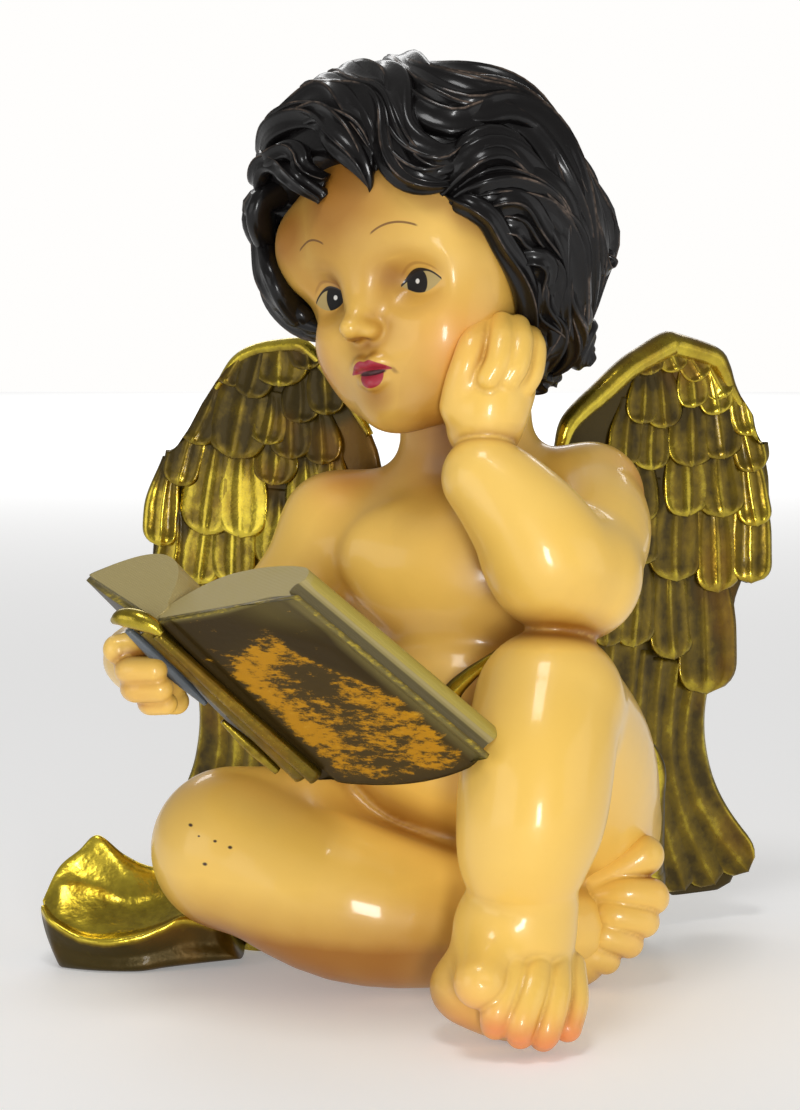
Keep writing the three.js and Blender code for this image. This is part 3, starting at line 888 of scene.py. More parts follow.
# azimuth and elevation of the hair's edge on the face
HAIRLINE = [(-100, -60), (-92, -20), (-88, 4), (-78, 12), (-62, 18), (-52, 20), (-44, 21), (-36, 16),
            (-28, 14),
            (-24, 24), (-15, 16), (-4, 11), (3, 9), (9, 4), (15, 2), (20, -1), (26, -9), (35, -19), (43, -30),
            (54, -45), (62, -60)]


def direction(azimuth, elevation):
    """A unit vector: azimuth from the viewer towards the right, elevation from the horizon, in degrees."""
    a, e = np.radians(azimuth), np.radians(elevation)
    return np.stack([np.cos(e) * np.sin(a), -np.cos(e) * np.cos(a), np.sin(e)], axis=-1)


def hairline_at(azimuth):
    """The elevation of the hair's edge, in straight steps between the listed places."""
    azimuths, elevations = zip(*HAIRLINE)
    return along(azimuths, elevations, azimuth)


def hair_radius(directions):
    """How far the hair stands from its centre: a globe with a few wide swells that fade as a bell."""
    radius = np.full(directions.shape[:-1], HAIR_RADIUS)
    for azimuth, elevation, rise, spread in HAIR_SWELLS:
        apart = np.degrees(np.arccos(np.clip(directions @ direction(azimuth, elevation), -1, 1)))
        radius = radius + rise * np.exp(-(apart / spread) ** 2)
    return radius


HAIR_FAMILIES = [
    # first guide, last guide, locks, width, height, lift, waviness
    ([(-104, 10), (-90, 26), (-66, 36), (-46, 33), (-34, 22), (-27, 7)],
     [(-104, 26), (-84, 40), (-54, 44), (-34, 38), (-24, 27), (-21, 18)], 4, 12, 7, 0.5, 0.5),
    ([(-106, 30), (-84, 48), (-52, 50), (-32, 41), (-20, 27), (-10, 16), (0, 11), (9, 11), (14, 16)],
     [(-106, 50), (-74, 66), (-34, 56), (-16, 40), (-7, 28), (2, 21), (9, 23), (17, 31), (28, 36)], 6, 14, 7,
     0, 0.6),
    ([(-130, 50), (-70, 68), (-20, 57), (-4, 45), (8, 37), (24, 39), (40, 32), (50, 17), (58, 0), (68, -18),
      (80, -38)],
     [(-160, 44), (170, 80), (40, 72), (50, 56), (62, 42), (74, 26), (86, 8), (94, -14), (98, -40)],
     8, 17, 7, 0, 1.2),
    ([(0, 12), (9, 19), (18, 25), (29, 26), (38, 19), (46, 4), (56, -12), (68, -30), (80, -48)],
     [(8, 4), (18, 8), (30, 11), (41, 4), (50, -11), (62, -27), (74, -42), (84, -56)], 5, 15, 7, 1.0, 0.9),
    ([(10, 2), (20, 5), (31, 6), (41, -1), (50, -15), (60, -32), (70, -50)],
     [(22, -8), (32, -6), (42, -14), (50, -26), (58, -38), (68, -52)], 3, 13, 6, 0.5, 0.9),
    ([(28, -15), (37, -13), (46, -22), (54, -34), (62, -46), (72, -58)],
     [(40, -32), (48, -32), (56, -42), (64, -52), (74, -62)], 3, 12, 6, 0.5, 0.7),
    ([(4, 10), (10, 5), (15, 2), (20, -1), (26, -8), (33, -18), (40, -30), (48, -44), (56, -60)],
     [(4, 10), (10, 5), (15, 2), (20, -1), (26, -8), (33, -18), (40, -30), (48, -44), (56, -60)], 1, 9, 6,
     -0.5, 0.3),
    ([(-50, 16), (-60, 23), (-76, 23), (-94, 16)], [(-50, 4), (-58, 11), (-72, 15), (-92, 8)], 2, 10, 6, 2.0,
     0.2),
    ([(-84, 14), (-84, 0), (-88, -16), (-84, -34), (-76, -50)],
     [(-124, 20), (-126, 0), (-124, -22), (-118, -42), (-112, -58)], 5, 15, 6.5, 0, 1.3),
    ([(-124, 44), (-142, 22), (-140, 0), (-136, -24), (-130, -52)],
     [(-178, 70), (-178, 40), (-174, 10), (-178, -20), (-174, -56)], 5, 18, 6.5, 0, 1.4),
    ([(-150, 66), (-120, 60), (-108, 40), (-104, 16), (-104, -10)],
     [(-178, 78), (-150, 56), (-136, 34), (-130, 10), (-128, -20)], 4, 18, 6.5, 0.5, 1.2),
    ([(150, 78), (108, 62), (98, 44), (95, 20), (98, -6)],
     [(178, 74), (140, 56), (124, 36), (118, 12), (114, -14)], 4, 18, 6.5, 0.5, 1.2),
    ([(176, 72), (176, 40), (172, 10), (176, -20), (172, -56)],
     [(104, 52), (112, 28), (108, 4), (112, -20), (106, -56)], 7, 18, 6.5, 0, 1.4),
]
# tight curls round the nape and at both temples: azimuth, elevation, size, angle where each begins
HAIR_CURLS = [(84, -12, 15, 0.4), (88, -40, 17, 0.2), (72, -56, 15, 1.2), (-90, -34, 15, 2.2),
              (-84, -54, 14, 0.6),
              (104, -54, 17, 2.0), (130, -52, 17, 0.8), (158, -52, 18, 3.0), (-174, -54, 18, 1.5),
              (-146, -52, 17, 0.2), (-118, -54, 16, 2.6)]
SHELL_COLUMNS = 280
SHELL_ROWS = 140
LOCK_ROWS = 44
LOCK_TOP = 25
LOCK_UNDER = 6
FAMILY_HEIGHT = 5.5  # the fullness at which a family's height is in millimetres
CURL_RADIUS = 66.0
CURL_TURNS = 1.15
CURL_WIDTH = 7.5


def hair_shell():
    """The mass under the locks: the hair's globe, drawn in under the skin inside the hairline."""
    azimuth, elevation = np.meshgrid(np.linspace(-180, 180, SHELL_COLUMNS, endpoint=False),
                                     np.linspace(86, -62, SHELL_ROWS))
    line = np.where((azimuth < -100) | (azimuth > 62), -90, hairline_at(azimuth))
    cover = smooth((elevation - line + 2) / 7)
    heading = direction(azimuth, elevation)
    radius = HAIR_CORE + (hair_radius(heading) - HAIR_CORE) * cover
    return closed_rolls((HAIR_CENTRE + heading * radius[..., None])[None], ridge=0.0)


def lock_section(strands):
    """A lock's profile: an arch cut by round gouges that leave sharp crests between them; and how high each
    is."""
    top = np.linspace(math.pi, 0, LOCK_TOP)
    under = np.linspace(0, -math.pi, LOCK_UNDER + 2)[1:-1]
    share = (np.cos(top) + 1) / 2
    crest = 1 - np.abs(np.sin(math.pi * strands * share)) ** 0.8
    arch = np.sin(top) ** 0.8
    x = np.concatenate([np.cos(top), 0.9 * np.cos(under)])
    y = np.concatenate([arch * (0.66 + 0.34 * crest), 0.5 * np.sin(under)])
    height = np.concatenate([arch * crest, np.zeros(LOCK_UNDER)])
    return np.stack([x, y], axis=-1), height


def lock_rings(heading, rise, size, width, height, lean, strands):
    """Carries the lock's profile along paths on the hair's globe, leaning it so that one lock overlaps the
    next."""
    path = HAIR_CENTRE + heading * (hair_radius(heading) + rise)[..., None]
    forward = unit(np.gradient(path, axis=1))
    across = unit(np.cross(heading, forward))
    outward = np.cross(forward, across)
    tipped = across * np.cos(lean) + outward * np.sin(lean)
    raised = outward * np.cos(lean) - across * np.sin(lean)
    section, ridge = lock_section(strands)
    scaled = section[None, None] * np.stack([size * width / 2, size ** 0.7 * height], axis=-1)
    return closed_rolls(carried(path, tipped, raised, scaled), ridge=ridge)


def locks(first, last, count, width, height, lift, waviness, settings, random):
    """A family of locks: paths in between the first guide and the last, all waving alike and each a little
    more.

    A lock rises out of the hair at its root, swells, and comes down to a point.
    """
    t = np.linspace(0, 1, LOCK_ROWS)
    ends = [unit(evenly(direction(*np.array(guide, float).T), LOCK_ROWS)) for guide in (first, last)]
    share = ((np.arange(count) + 0.5) / count)[:, None, None]
    phase = random.uniform(0, 2 * math.pi, (count, 1))
    start = random.uniform(0, 0.06, (count, 1))
    end = random.uniform(0.93, 1.0, (count, 1))
    at = (start + (end - start) * t) * (LOCK_ROWS - 1)
    row = np.minimum(at.astype(int), LOCK_ROWS - 2)
    part = (at - row)[..., None]
    heading = unit(sum((side[row] * (1 - part) + side[row + 1] * part) * weight
                       for side, weight in zip(ends, (1 - share, share))))
    forward = unit(np.gradient(heading, axis=1))
    across = unit(np.cross(heading, forward))
    shared = 0.055 * waviness * np.sin(2 * math.pi * 2.2 * t + 2.0 * share[..., 0])
    own = 0.026 * np.sin(2 * math.pi * 1.7 * t + phase)
    heading = unit(heading + across * ((shared + own) * np.sin(math.pi * t) ** 0.5)[..., None])
    swell = 1.0 * np.sin(2 * math.pi * 2.1 * t + phase) + random.uniform(-1.1, 1.1, (count, 1))
    swell = swell + 1.1 * waviness * np.sin(2 * math.pi * 1.6 * t + 1.6 * share[..., 0] + 1.0)
    rise = lift + swell * smooth(t / 0.2) - 9.0 * (1 - smooth(t / 0.15)) - 2.0 * smooth((t - 0.8) / 0.2)
    lean = np.radians(14 + 14 * np.sin(2 * math.pi * 1.2 * t + phase))[..., None]
    root = 0.78 + 0.22 * smooth(t / 0.2)
    tip = np.clip(1 - np.clip((t - 0.70) / 0.30, 0, 1) ** 2.0, 0.03, 1)
    size = (root * tip)[None, :, None] * random.uniform(0.85, 1.18, (count, 1, 1))
    return lock_rings(heading, rise, size, width, height * settings.fullness / FAMILY_HEIGHT, lean,
                      settings.strands)


def curls(settings):
    """Tight curls: each winds in on the globe from its rim to its middle and rises as it does."""
    azimuth, elevation, sizes, begin = np.array(HAIR_CURLS, float).T
    centres = direction(azimuth, elevation)
    t = np.linspace(0, 1, LOCK_ROWS)[None]
    east = unit(np.cross(centres, (0, 0, -1.0)))
    north = np.cross(centres, east)
    turn = begin[:, None] + 2 * math.pi * CURL_TURNS * t
    reach = sizes[:, None] / 2 / CURL_RADIUS * (1 - 0.72 * t)
    heading = unit(centres[:, None] + east[:, None] * (reach * np.cos(turn))[..., None]
                   + north[:, None] * (reach * np.sin(turn))[..., None])
    rise = -1.5 + 3.4 * smooth(t) + 0 * turn
    size = (0.35 + 0.65 * smooth(t / 0.25)) * np.clip(1 - np.clip((t - 0.8) / 0.2, 0, 1) ** 2, 0.05, 1)
    lean = np.full((len(turn), 1, 1), -0.35)
    return lock_rings(heading, rise, (size + 0 * turn)[..., None], CURL_WIDTH, settings.fullness * 0.95,
                      lean, 2)


# ---------------------------------------------------------------- wings

RIGHT_WING = {
    "side": 1, "root": (47, 44), "rim": 0.95,
    # height, reach of the inner edge, reach of the outer edge
    "outline": [(257, 66, 76), (252, 56, 88), (247, 47, 93), (238, 36, 98), (226, 22, 106), (214, 17, 108),
                (200, 16, 109), (185, 17, 108), (165, 21, 108), (152, 23, 107), (144, 25, 104),
                (120, 31, 100),
                (104, 33, 92), (96, 34, 90), (78, 37, 87), (57, 43, 89), (38, 52, 97), (24, 60, 106),
                (17, 65, 104), (13, 70, 96)],
    "feathers": [
        # reach and height of the tip, width, length, lean outwards in degrees
        (60, 240, 13, 16, 10), (72, 243, 13, 16, 20), (84, 240, 13, 16, 30), (94, 232, 13, 18, 28),
        (54, 222, 14, 20, 0), (67, 219, 15, 22, 5), (79, 228, 14, 18, 12), (91, 224, 14, 20, 18),
        (104, 214, 15, 26, 16), (48, 203, 14, 24, -4), (60, 201, 16, 22, 0), (78, 203, 19, 27, 4),
        (94, 206, 18, 26, 10), (108, 198, 13, 30, 10), (45, 180, 14, 26, -4), (57, 179, 16, 30, 0),
        (76, 181, 19, 30, 2), (93, 180, 20, 34, 5), (107, 176, 13, 34, 5), (40, 158, 14, 30, -3),
        (55, 161, 15, 32, -2), (72, 152, 20, 38, 1), (91, 147, 18, 44, 3), (105, 150, 15, 42, 3),
        (40, 126, 16, 36, -5), (54, 126, 17, 38, -2), (70, 118, 17, 44, 0), (88, 104, 23, 56, 4),
    ],
    "plumes": [
        # root reach and height, tip reach and height, bow, width
        (44, 130, 40, 70, 4, 18), (54, 128, 52, 52, 4, 18), (58, 124, 66, 20, 7, 16),
        (66, 120, 78, 16, 9, 17),
        (74, 118, 92, 17, 12, 17), (82, 112, 107, 22, 16, 16),
    ],
}
LEFT_WING = {
    "side": -1, "root": (2, 52), "rim": 0.55,
    "outline": [(257, 44, 58), (255, 40, 64), (250, 34, 74), (240, 26, 82), (231, 19, 88), (220, 12, 94),
                (210, 8, 101), (200, 6, 105), (190, 6, 108), (174, 8, 114), (162, 10, 115), (140, 14, 112),
                (120, 18, 104), (104, 22, 96), (95, 24, 91), (80, 28, 85), (66, 34, 92), (50, 42, 98),
                (30, 50, 104),
                (13, 60, 92)],
    "feathers": [
        (40, 244, 16, 18, -6), (53, 237, 22, 22, 4), (66, 230, 14, 26, 18), (80, 238, 13, 18, 30),
        (33, 224, 15, 20, -6), (45, 220, 15, 18, 0), (60, 213, 16, 20, 6), (76, 205, 24, 40, 10),
        (93, 212, 14, 24, 20), (35, 204, 15, 20, -4), (48, 206, 17, 22, 0), (57, 193, 18, 20, 2),
        (99, 192, 14, 34, 14), (30, 184, 15, 22, -4),
        (44, 182, 16, 24, 0), (70, 171, 21, 36, 6), (89, 171, 20, 40, 10), (106, 164, 14, 34, 12),
        (40, 160, 16, 28, -2), (55, 158, 18, 30, 0), (75, 150, 18, 34, 4), (89, 148, 15, 32, 8),
        (104, 142, 15, 36, 10),
        (40, 132, 18, 34, -2), (57, 128, 18, 36, 0), (74, 122, 19, 40, 3), (92, 116, 18, 44, 6),
    ],
    "plumes": [
        (44, 130, 40, 60, 4, 20), (54, 128, 54, 40, 4, 20), (62, 124, 68, 20, 7, 18),
        (70, 120, 80, 17, 9, 18),
        (78, 118, 93, 20, 12, 18), (86, 112, 102, 32, 14, 16),
    ],
}
WING_SWEEP = 50.0
WING_SPAN = 110.0
WING_FOOT = 14.0
WING_TOP_ROWS = 205  # the outline above this height is the wing's upper edge
BLADE_ROWS = 90
BLADE_AROUND = 40
FEATHER_ROWS = 30
FEATHER_TOP = 19
FEATHER_UNDER = 5
FEATHER_STRETCH = (1, 1, 1.22, 1.2, 1)  # of reach, height, width, length and lean
FEATHER_SPREAD = (1.6, 1.6, 1.2, 1.5, 4)  # how far each of them strays
BROAD_FEATHER = 19
PLUME_ROWS = 44
RIM_AROUND = 20
RIM_ROWS = 90
ROUND_SKIN = 0.0004  # keeps a tip from closing to a line


def on_wing(wing, reach, height, lift):
    """A place on the wing: out from its root, up, and back along an eased sweep, with lift towards the
    viewer."""
    x = wing["root"][0] + wing["side"] * reach
    sweep = WING_SWEEP * smooth(reach / WING_SPAN)
    y = wing["root"][1] + sweep - lift
    return np.stack([x, y, height + 0 * x], axis=-1)


def under_rim(wing, reach, height):
    """Holds heights under the wing's upper edge, read from its outline at each reach."""
    rows = [row for row in wing["outline"] if row[0] > WING_TOP_ROWS]
    spans = np.array([(row[1], row[0]) for row in rows] + [(row[2], row[0]) for row in rows], float)
    edge = along(spans[:, 0], spans[:, 1], reach)
    return np.minimum(height, edge - 2.5)


def wing_blade(wing):
    """The plate under the feathers: a flat lens from the inner to the outer edge at each height."""
    heights, inner, outer = zip(*wing["outline"])
    z = np.linspace(max(heights) - 3, WING_FOOT, BLADE_ROWS)
    inner = along(heights, inner, z) + 3
    outer = along(heights, outer, z) - 4
    turn = full_turn(BLADE_AROUND)
    share = 0.5 - 0.5 * np.cos(turn)
    belly = np.sign(np.sin(turn)) * np.abs(np.sin(turn)) ** 0.5
    reach = inner[:, None] + (outer - inner)[:, None] * share[None]
    lift = 3.2 * belly[None] + 0 * reach
    return closed_rolls(on_wing(wing, reach, z[:, None] + 0 * reach, lift)[None], hollow=0.85)


def vane():
    """A feather's section: shares of its half width from edge to edge and back under, and which are on
    top."""
    top = np.linspace(-1, 1, FEATHER_TOP)
    under = np.linspace(1, -1, FEATHER_UNDER + 2)[1:-1]
    is_top = np.arange(FEATHER_TOP + FEATHER_UNDER) < FEATHER_TOP
    return np.concatenate([top, under])[None, None], is_top[None, None]


def feather_half(t, width, length):
    """Half the feather's width along its length: it fills out from the root and ends in a round tip."""
    radius = np.minimum(width * 0.5 / length, 0.45)
    into = np.clip((t - 1 + radius) / radius, 0, 1)
    return width / 2 * (0.62 + 0.38 * smooth(t / 0.6)) * np.sqrt(np.clip(1 - into ** 2.4, ROUND_SKIN, 1))


def feathers(wing, front, settings, random):
    """Overlapping feathers on one face of a wing, worked out together.

    Each lies along its own axis, crowned across, with a raised shaft, long flutes beside it and a lifted tip.
    """
    table = np.array(wing["feathers"], float) * FEATHER_STRETCH
    table = table + random.uniform(-1, 1, table.shape) * FEATHER_SPREAD
    reach, height, width, length, lean = table.T[..., None, None]
    t = np.linspace(0, 1, FEATHER_ROWS)[None, :, None]
    s, is_top = vane()
    angle = np.radians(lean)
    half = feather_half(t, width, length)
    bend = random.uniform(-0.05, 0.05, reach.shape) * length * 4 * t * (1 - t)
    back = -length * (1 - t)
    out = s * half + bend
    place_reach = reach + np.sin(angle) * back + np.cos(angle) * out
    place_height = height - np.cos(angle) * back + np.sin(angle) * out
    phase = random.uniform(0, 2 * math.pi, reach.shape)
    count = np.where(width > BROAD_FEATHER, 3.4, 2.6)
    flute = np.cos(math.pi * count * s * (1 - 0.15 * t) + 0.5 * np.sin(4 * t + phase))
    fade = smooth((1 - np.abs(s)) / 0.3) * smooth(t / 0.2) * smooth((1.02 - t) / 0.12)
    shaft = np.exp(-(s / 0.1) ** 2)
    relief = settings.flutes * flute * fade + 0.5 * shaft * fade
    crown = 1.7 * (1 - s ** 2) ** 0.6 + 0.8 * np.exp(-((t - 0.93) / 0.08) ** 2)
    rest = 2.2 + 2.8 * t
    lift = np.where(is_top, rest + crown + relief, rest - 2.2 - 0.6 * t)
    if not front:
        lift = -(2.0 + (lift - 2.0) * 0.6)
    rings = on_wing(wing, place_reach, under_rim(wing, place_reach, place_height), lift)
    edge = smooth((np.abs(s) - 0.72) / 0.25) + smooth((t - 0.86) / 0.1)
    hollow = 0.54 - 0.08 * flute * fade - 0.10 * shaft * fade - 0.22 * np.clip(edge, 0, 1)
    hollow = hollow + 0.5 * smooth((0.5 - t) / 0.5) + random.uniform(-0.12, 0.12, reach.shape)
    # the left wing gets painted shade on its upper feathers and a painted highlight on its lower ones
    hollow = hollow + (0.14 - 0.32 * smooth((205 - height) / 30) if wing["side"] < 0 else 0.0)
    return closed_rolls(rings, hollow=np.where(is_top, np.clip(hollow, 0, 1), 0.9))


def plumes(wing, front, settings):
    """The long feathers at the foot of a wing: each follows a bowed axis that turns out at its tip."""
    table = np.array(wing["plumes"], float)
    root_reach, root_height, tip_reach, tip_height, bow, width = table.T[..., None, None]
    t = np.linspace(0, 1, PLUME_ROWS)[None, :, None]
    s, is_top = vane()
    middle_reach = root_reach + (tip_reach - root_reach) * t ** 2.2 - bow * np.sin(math.pi * t) * 0.5
    middle_height = root_height + (tip_height - root_height) * t
    slope = np.gradient(middle_reach, axis=1) / np.gradient(middle_height, axis=1)
    normal = 1 / np.sqrt(1 + slope ** 2)
    tip = np.sqrt(np.clip(1 - np.clip((t - 0.9) / 0.1, 0, 1) ** 2, ROUND_SKIN, 1))
    half = width * 0.62 * (0.75 + 0.25 * smooth(t / 0.5)) * tip
    reach = middle_reach + s * half * normal
    height = middle_height - s * half * slope * normal
    flute = np.cos(math.pi * 1.8 * s + 0.6 * np.sin(5 * t))
    fade = smooth((1 - np.abs(s)) / 0.3) * smooth((1.02 - t) / 0.1)
    shaft = np.exp(-(s / 0.12) ** 2)
    lift = 2.0 + 1.8 * (1 - s ** 2) ** 0.6 + (settings.flutes * flute + 0.6 * shaft) * fade + 1.5 * t
    lift = np.where(is_top, lift, -0.5)
    if not front:
        lift = -lift
    edge = smooth((np.abs(s) - 0.74) / 0.22)
    hollow = np.clip(0.60 - 0.07 * flute * fade - 0.12 * shaft - 0.36 * edge, 0, 1)
    return closed_rolls(on_wing(wing, reach, height, lift + 0 * reach), hollow=np.where(is_top, hollow, 0.9))


def wing_rim(wing):
    """The rolled edge that runs up the inner side of a wing and over its top."""
    rows = wing["outline"]
    inner = [(row[1], row[0]) for row in rows[:6]][::-1]
    outer = [(row[2], row[0]) for row in rows[1:5]]
    run = np.array(inner + [((rows[0][1] + rows[0][2]) / 2, rows[0][0])] + outer, float)
    size = wing["rim"] * np.interp(np.linspace(0, 1, len(run)), [0, 0.15, 0.5, 0.8, 1],
                                   [3.0, 5.0, 6.0, 4.5, 1.5])
    run[:, 0] = run[:, 0] + 2.5 * np.linspace(1, -1, len(run))
    run[:, 1] = run[:, 1] - 3.0
    spots = on_wing(wing, run[:, 0], run[:, 1], 3.0 + 0 * run[:, 0])
    rings = tube(np.column_stack([spots, size]), RIM_AROUND, RIM_ROWS)
    # one side of the roll is painted darker than the other
    return closed_rolls(rings, hollow=0.25 + 0.25 * np.cos(full_turn(RIM_AROUND)))


# ---------------------------------------------------------------- book

SPINE = np.array([(-89, -95, 158), (-34, -70, 96)], float)
RIGHT_EDGE = np.array([(-36, -129, 171), (32, -104, 110)], float)
LEFT_EDGE = np.array([(-119, -46, 168), (-66, -22, 108)], float)
BOARD_ROWS = 70
BOARD_STEPS = 48
PAGE_ROWS = 46
SPINE_AROUND = 20
SPINE_ROWS = 40
PAGE_BLOCKS = [
    # piece, free edge, how far the tail swells, outline in shares of the width and in height
    ("right_pages", RIGHT_EDGE, 0.06, [(0.955, 1.2), (0.93, 3.5), (0.945, 6.5), (0.985, 8.4), (1.0, 10.5),
                                       (0.985, 14.0), (0.93, 16.4), (0.78, 19.0), (0.6, 20.4), (0.42, 20.0),
                                       (0.28, 17.6), (0.16, 13.4), (0.07, 9.0), (0.02, 6.5), (0.02, 1.2)]),
    ("left_pages", LEFT_EDGE, 0.04, [(0.985, 0.9), (1.02, 1.6), (0.95, 6.0), (0.83, 12.4), (0.69, 18.4),
                                     (0.54, 22.4), (0.39, 23.6), (0.25, 22.0), (0.145, 17.6), (0.08, 12.6),
                                     (0.04, 9.0), (0.0, 6.5), (0.02, 1.0)]),
]
SPINE_ROLLS = [
    # stations and how dark: the round spine, its ridge, the lower ridge, the headband
    ([(-92, -93, 155.5, 3.8), (-63.5, -82, 126.5, 4.6), (-35.5, -71, 98.5, 5.8)], 0.46),
    ([(-88, -97, 153.5, 2.2), (-59.5, -86, 124.5, 2.8), (-31.5, -74.5, 96.5, 3.2)], 0.40),
    ([(-66, -77, 118, 1.0), (-56, -74, 108, 2.2), (-46, -70.5, 98, 1.6)], 0.30),
    ([(-104.5, -91, 157.5, 1.4), (-101, -93.5, 159, 3.2), (-95.5, -95.5, 158.5, 3.8), (-90, -97, 156.5, 3.2),
      (-86, -98, 153.5, 1.4)], 0.15),
]
# a strip along the spine's side that carries a painted reflection of bluish light
SPINE_REFLECTION_STRIP = [(-99, -93.5, 154.5, 1.4), (-91.5, -90, 146.5, 2.2), (-82, -85, 136, 2.4),
              (-72, -79.5, 125, 1.0)]


def book_side(edge):
    """Across vectors from the spine at its head and tail, and the way up from a cover to its pages."""
    across = edge - SPINE
    up = unit(np.cross(across[0], SPINE[1] - SPINE[0]))
    return across, up if up[2] > 0 else -up


def book_rings(edge, t, w, n, bulge):
    """Puts (share of the width, height) on the book's side at each share t of the way from its head to its
    tail.

    The tail swells outwards by bulge times four w (1 - w).
    """
    across, up = book_side(edge)
    reach = (t * (1 + bulge * 4 * w * (1 - w) * t))[..., None]
    t, w, n = t[..., None], w[..., None], n[..., None]
    origin = SPINE[0] + (SPINE[1] - SPINE[0]) * reach
    return (origin + w * (across[0] + (across[1] - across[0]) * t) + n * up)[None]


def board(edge, bulge, hollowed):
    """A cover: a thin plate whose outer face dips in a channel by its free edge, wider towards the head.

    The channel is a bell across the width; a second, small one runs beside the spine.
    """
    t = np.linspace(0, 1, BOARD_ROWS)[:, None]
    w = np.linspace(0.03, 1.0, BOARD_STEPS)[None]
    head = 1 - smooth(t / 0.30)
    channel = 2.3 * hollowed * np.exp(-((w - 0.935 + 0.16 * head) / (0.036 + 0.14 * head)) ** 2)
    channel = channel * smooth((1.0 - w) / 0.03)
    joint = 1.2 * np.exp(-((w - 0.10) / 0.03) ** 2)
    face = -1.2 - 0.8 * np.sin(math.pi * w) + channel + joint
    inner = np.maximum(face + 1.6, 0.9)
    ws = np.concatenate([w, w[:, ::-1]], axis=1) + 0 * t
    ns = np.concatenate([face, inner[:, ::-1]], axis=1)
    patch = smooth((t - 0.08 + 0.30 * (w - 0.5)) / 0.20) * smooth((1.02 - t) / 0.08)
    patch = patch * smooth((w - 0.10) / 0.14)
    patch = patch * smooth((0.95 - 0.25 * smooth((0.6 - t) / 0.4) - w) / 0.08)
    patch = patch - 0.35 * np.exp(-((t - 0.40) / 0.16) ** 2 - ((w - 0.60) / 0.13) ** 2)
    worn = np.concatenate([0.10 + 0.50 * patch * hollowed, 0 * patch], axis=1)
    rim = np.maximum(smooth((w - 0.965) / 0.02), smooth((0.02 - t) / 0.02)) + 0 * t
    rim = np.maximum(rim, 0.75 * smooth((w - 0.90) / 0.03) * hollowed)
    rim = np.maximum(rim, 0.42 * hollowed * np.clip(channel / 2.0, 0, 1) * head)
    return closed_rolls(book_rings(edge, t, ws, ns, bulge), wear=worn,
                        rim=np.concatenate([rim, rim[:, ::-1]], axis=1))


def page_block(edge, bulge, outline):
    """The leaves on one side, arched up from the gutter; the outer edge is set back below its top leaves.

    The outline is joined by smooth cubics. Each end has a second, smaller ring, so that its own paint stops
    there.
    """
    profile = curve(outline, 6)
    t = np.concatenate([[0.0], np.linspace(0, 1, PAGE_ROWS), [1.0]])[:, None]
    inset = np.ones((PAGE_ROWS + 2, 1))
    inset[[0, -1]] = 0.97
    middle = profile.mean(axis=0)
    w = middle[0] + (profile[None, :, 0] - middle[0]) * inset
    n = middle[1] + (profile[None, :, 1] - middle[1]) * inset
    # painted shade on the outer edge, where it is set back below the top leaves
    shade = np.where((w > 0.9) & (n < 7.5) & (inset == 1), 0.85, 0.12)
    gilt = smooth((w - 0.93) / 0.05) * smooth((n - 7.5) / 2.0) + 0.55 * smooth((n - 13) / 7)
    gilt = np.where(inset == 1, gilt * (0.6 + 0.4 * smooth((t - 0.02) / 0.05)), 0.40)
    return closed_rolls(book_rings(edge, t, w, n, bulge), leaf=n / 20, shade=shade, gilt=gilt)


# ---------------------------------------------------------------- cloth

SEAT_CENTRE = (14, 58)
SEAT_HALF = (86, 38)
SEAT_HEIGHT = 40
SEAT_AROUND = 160
SEAT_ROWS = 26
FOLD_AROUND = 24
CLOTH_FOLDS = [
    # stations and how flat: up behind the hip, over the lap behind the book, and at the seat's side
    ([(98, 42, 20, 13), (102, 36, 45, 9), (105, 32, 66, 5.5), (106, 30, 81, 4), (99, 30, 95, 2.5)], 0.8),
    ([(16, -30, 96, 9), (18, -35, 112, 6), (20, -38, 122, 4), (26, -40, 129, 3), (32, -42, 134, 2.4),
      (38, -44, 139, 1.6)], 0.7),
    ([(90, 34, 14, 12), (100, 40, 30, 12), (96, 44, 50, 10)], 0.9),
]


def cloth(control, around, rows):
    """A closed fold of cloth: rings of control spots are joined by smooth cubics, round each ring and
    along."""
    rings = np.array(control, float)
    wrapped = np.concatenate([rings[:, -1:], rings, rings[:, :2]], axis=1)
    fine = np.array([curve(ring, around)[around:-around - 1] for ring in wrapped])
    return curve(fine.reshape(len(fine), -1), rows).reshape(1, -1, fine.shape[1], 3)


def seat_cloth():
    """The cloth under the seat: a low mound whose folds run out to its hem."""
    angle = full_turn(SEAT_AROUND)[None]
    depth = np.linspace(0, 1, SEAT_ROWS)[:, None]
    share = 0.5 + 0.5 * np.sin(depth * math.pi / 2) ** 0.8
    height = SEAT_HEIGHT * np.cos(depth * math.pi / 2) ** 0.7
    fold = 1 + share * (0.05 * np.cos(7 * angle + 1) + 0.03 * np.cos(16 * angle + 2 * np.sin(3 * angle)))
    x = SEAT_CENTRE[0] + SEAT_HALF[0] * np.cos(angle) * share * fold
    y = SEAT_CENTRE[1] + SEAT_HALF[1] * np.sin(angle) * share * fold
    z = np.maximum(height * (1 + share * (0.16 * np.cos(9 * angle) + 0.10 * np.cos(19 * angle))), 0)
    hollow = np.clip(0.55 - 0.4 * np.cos(16 * angle + 2 * np.sin(3 * angle)), 0, 1)
    return closed_rolls(np.stack([x, y, z], axis=-1)[None], hollow=hollow)


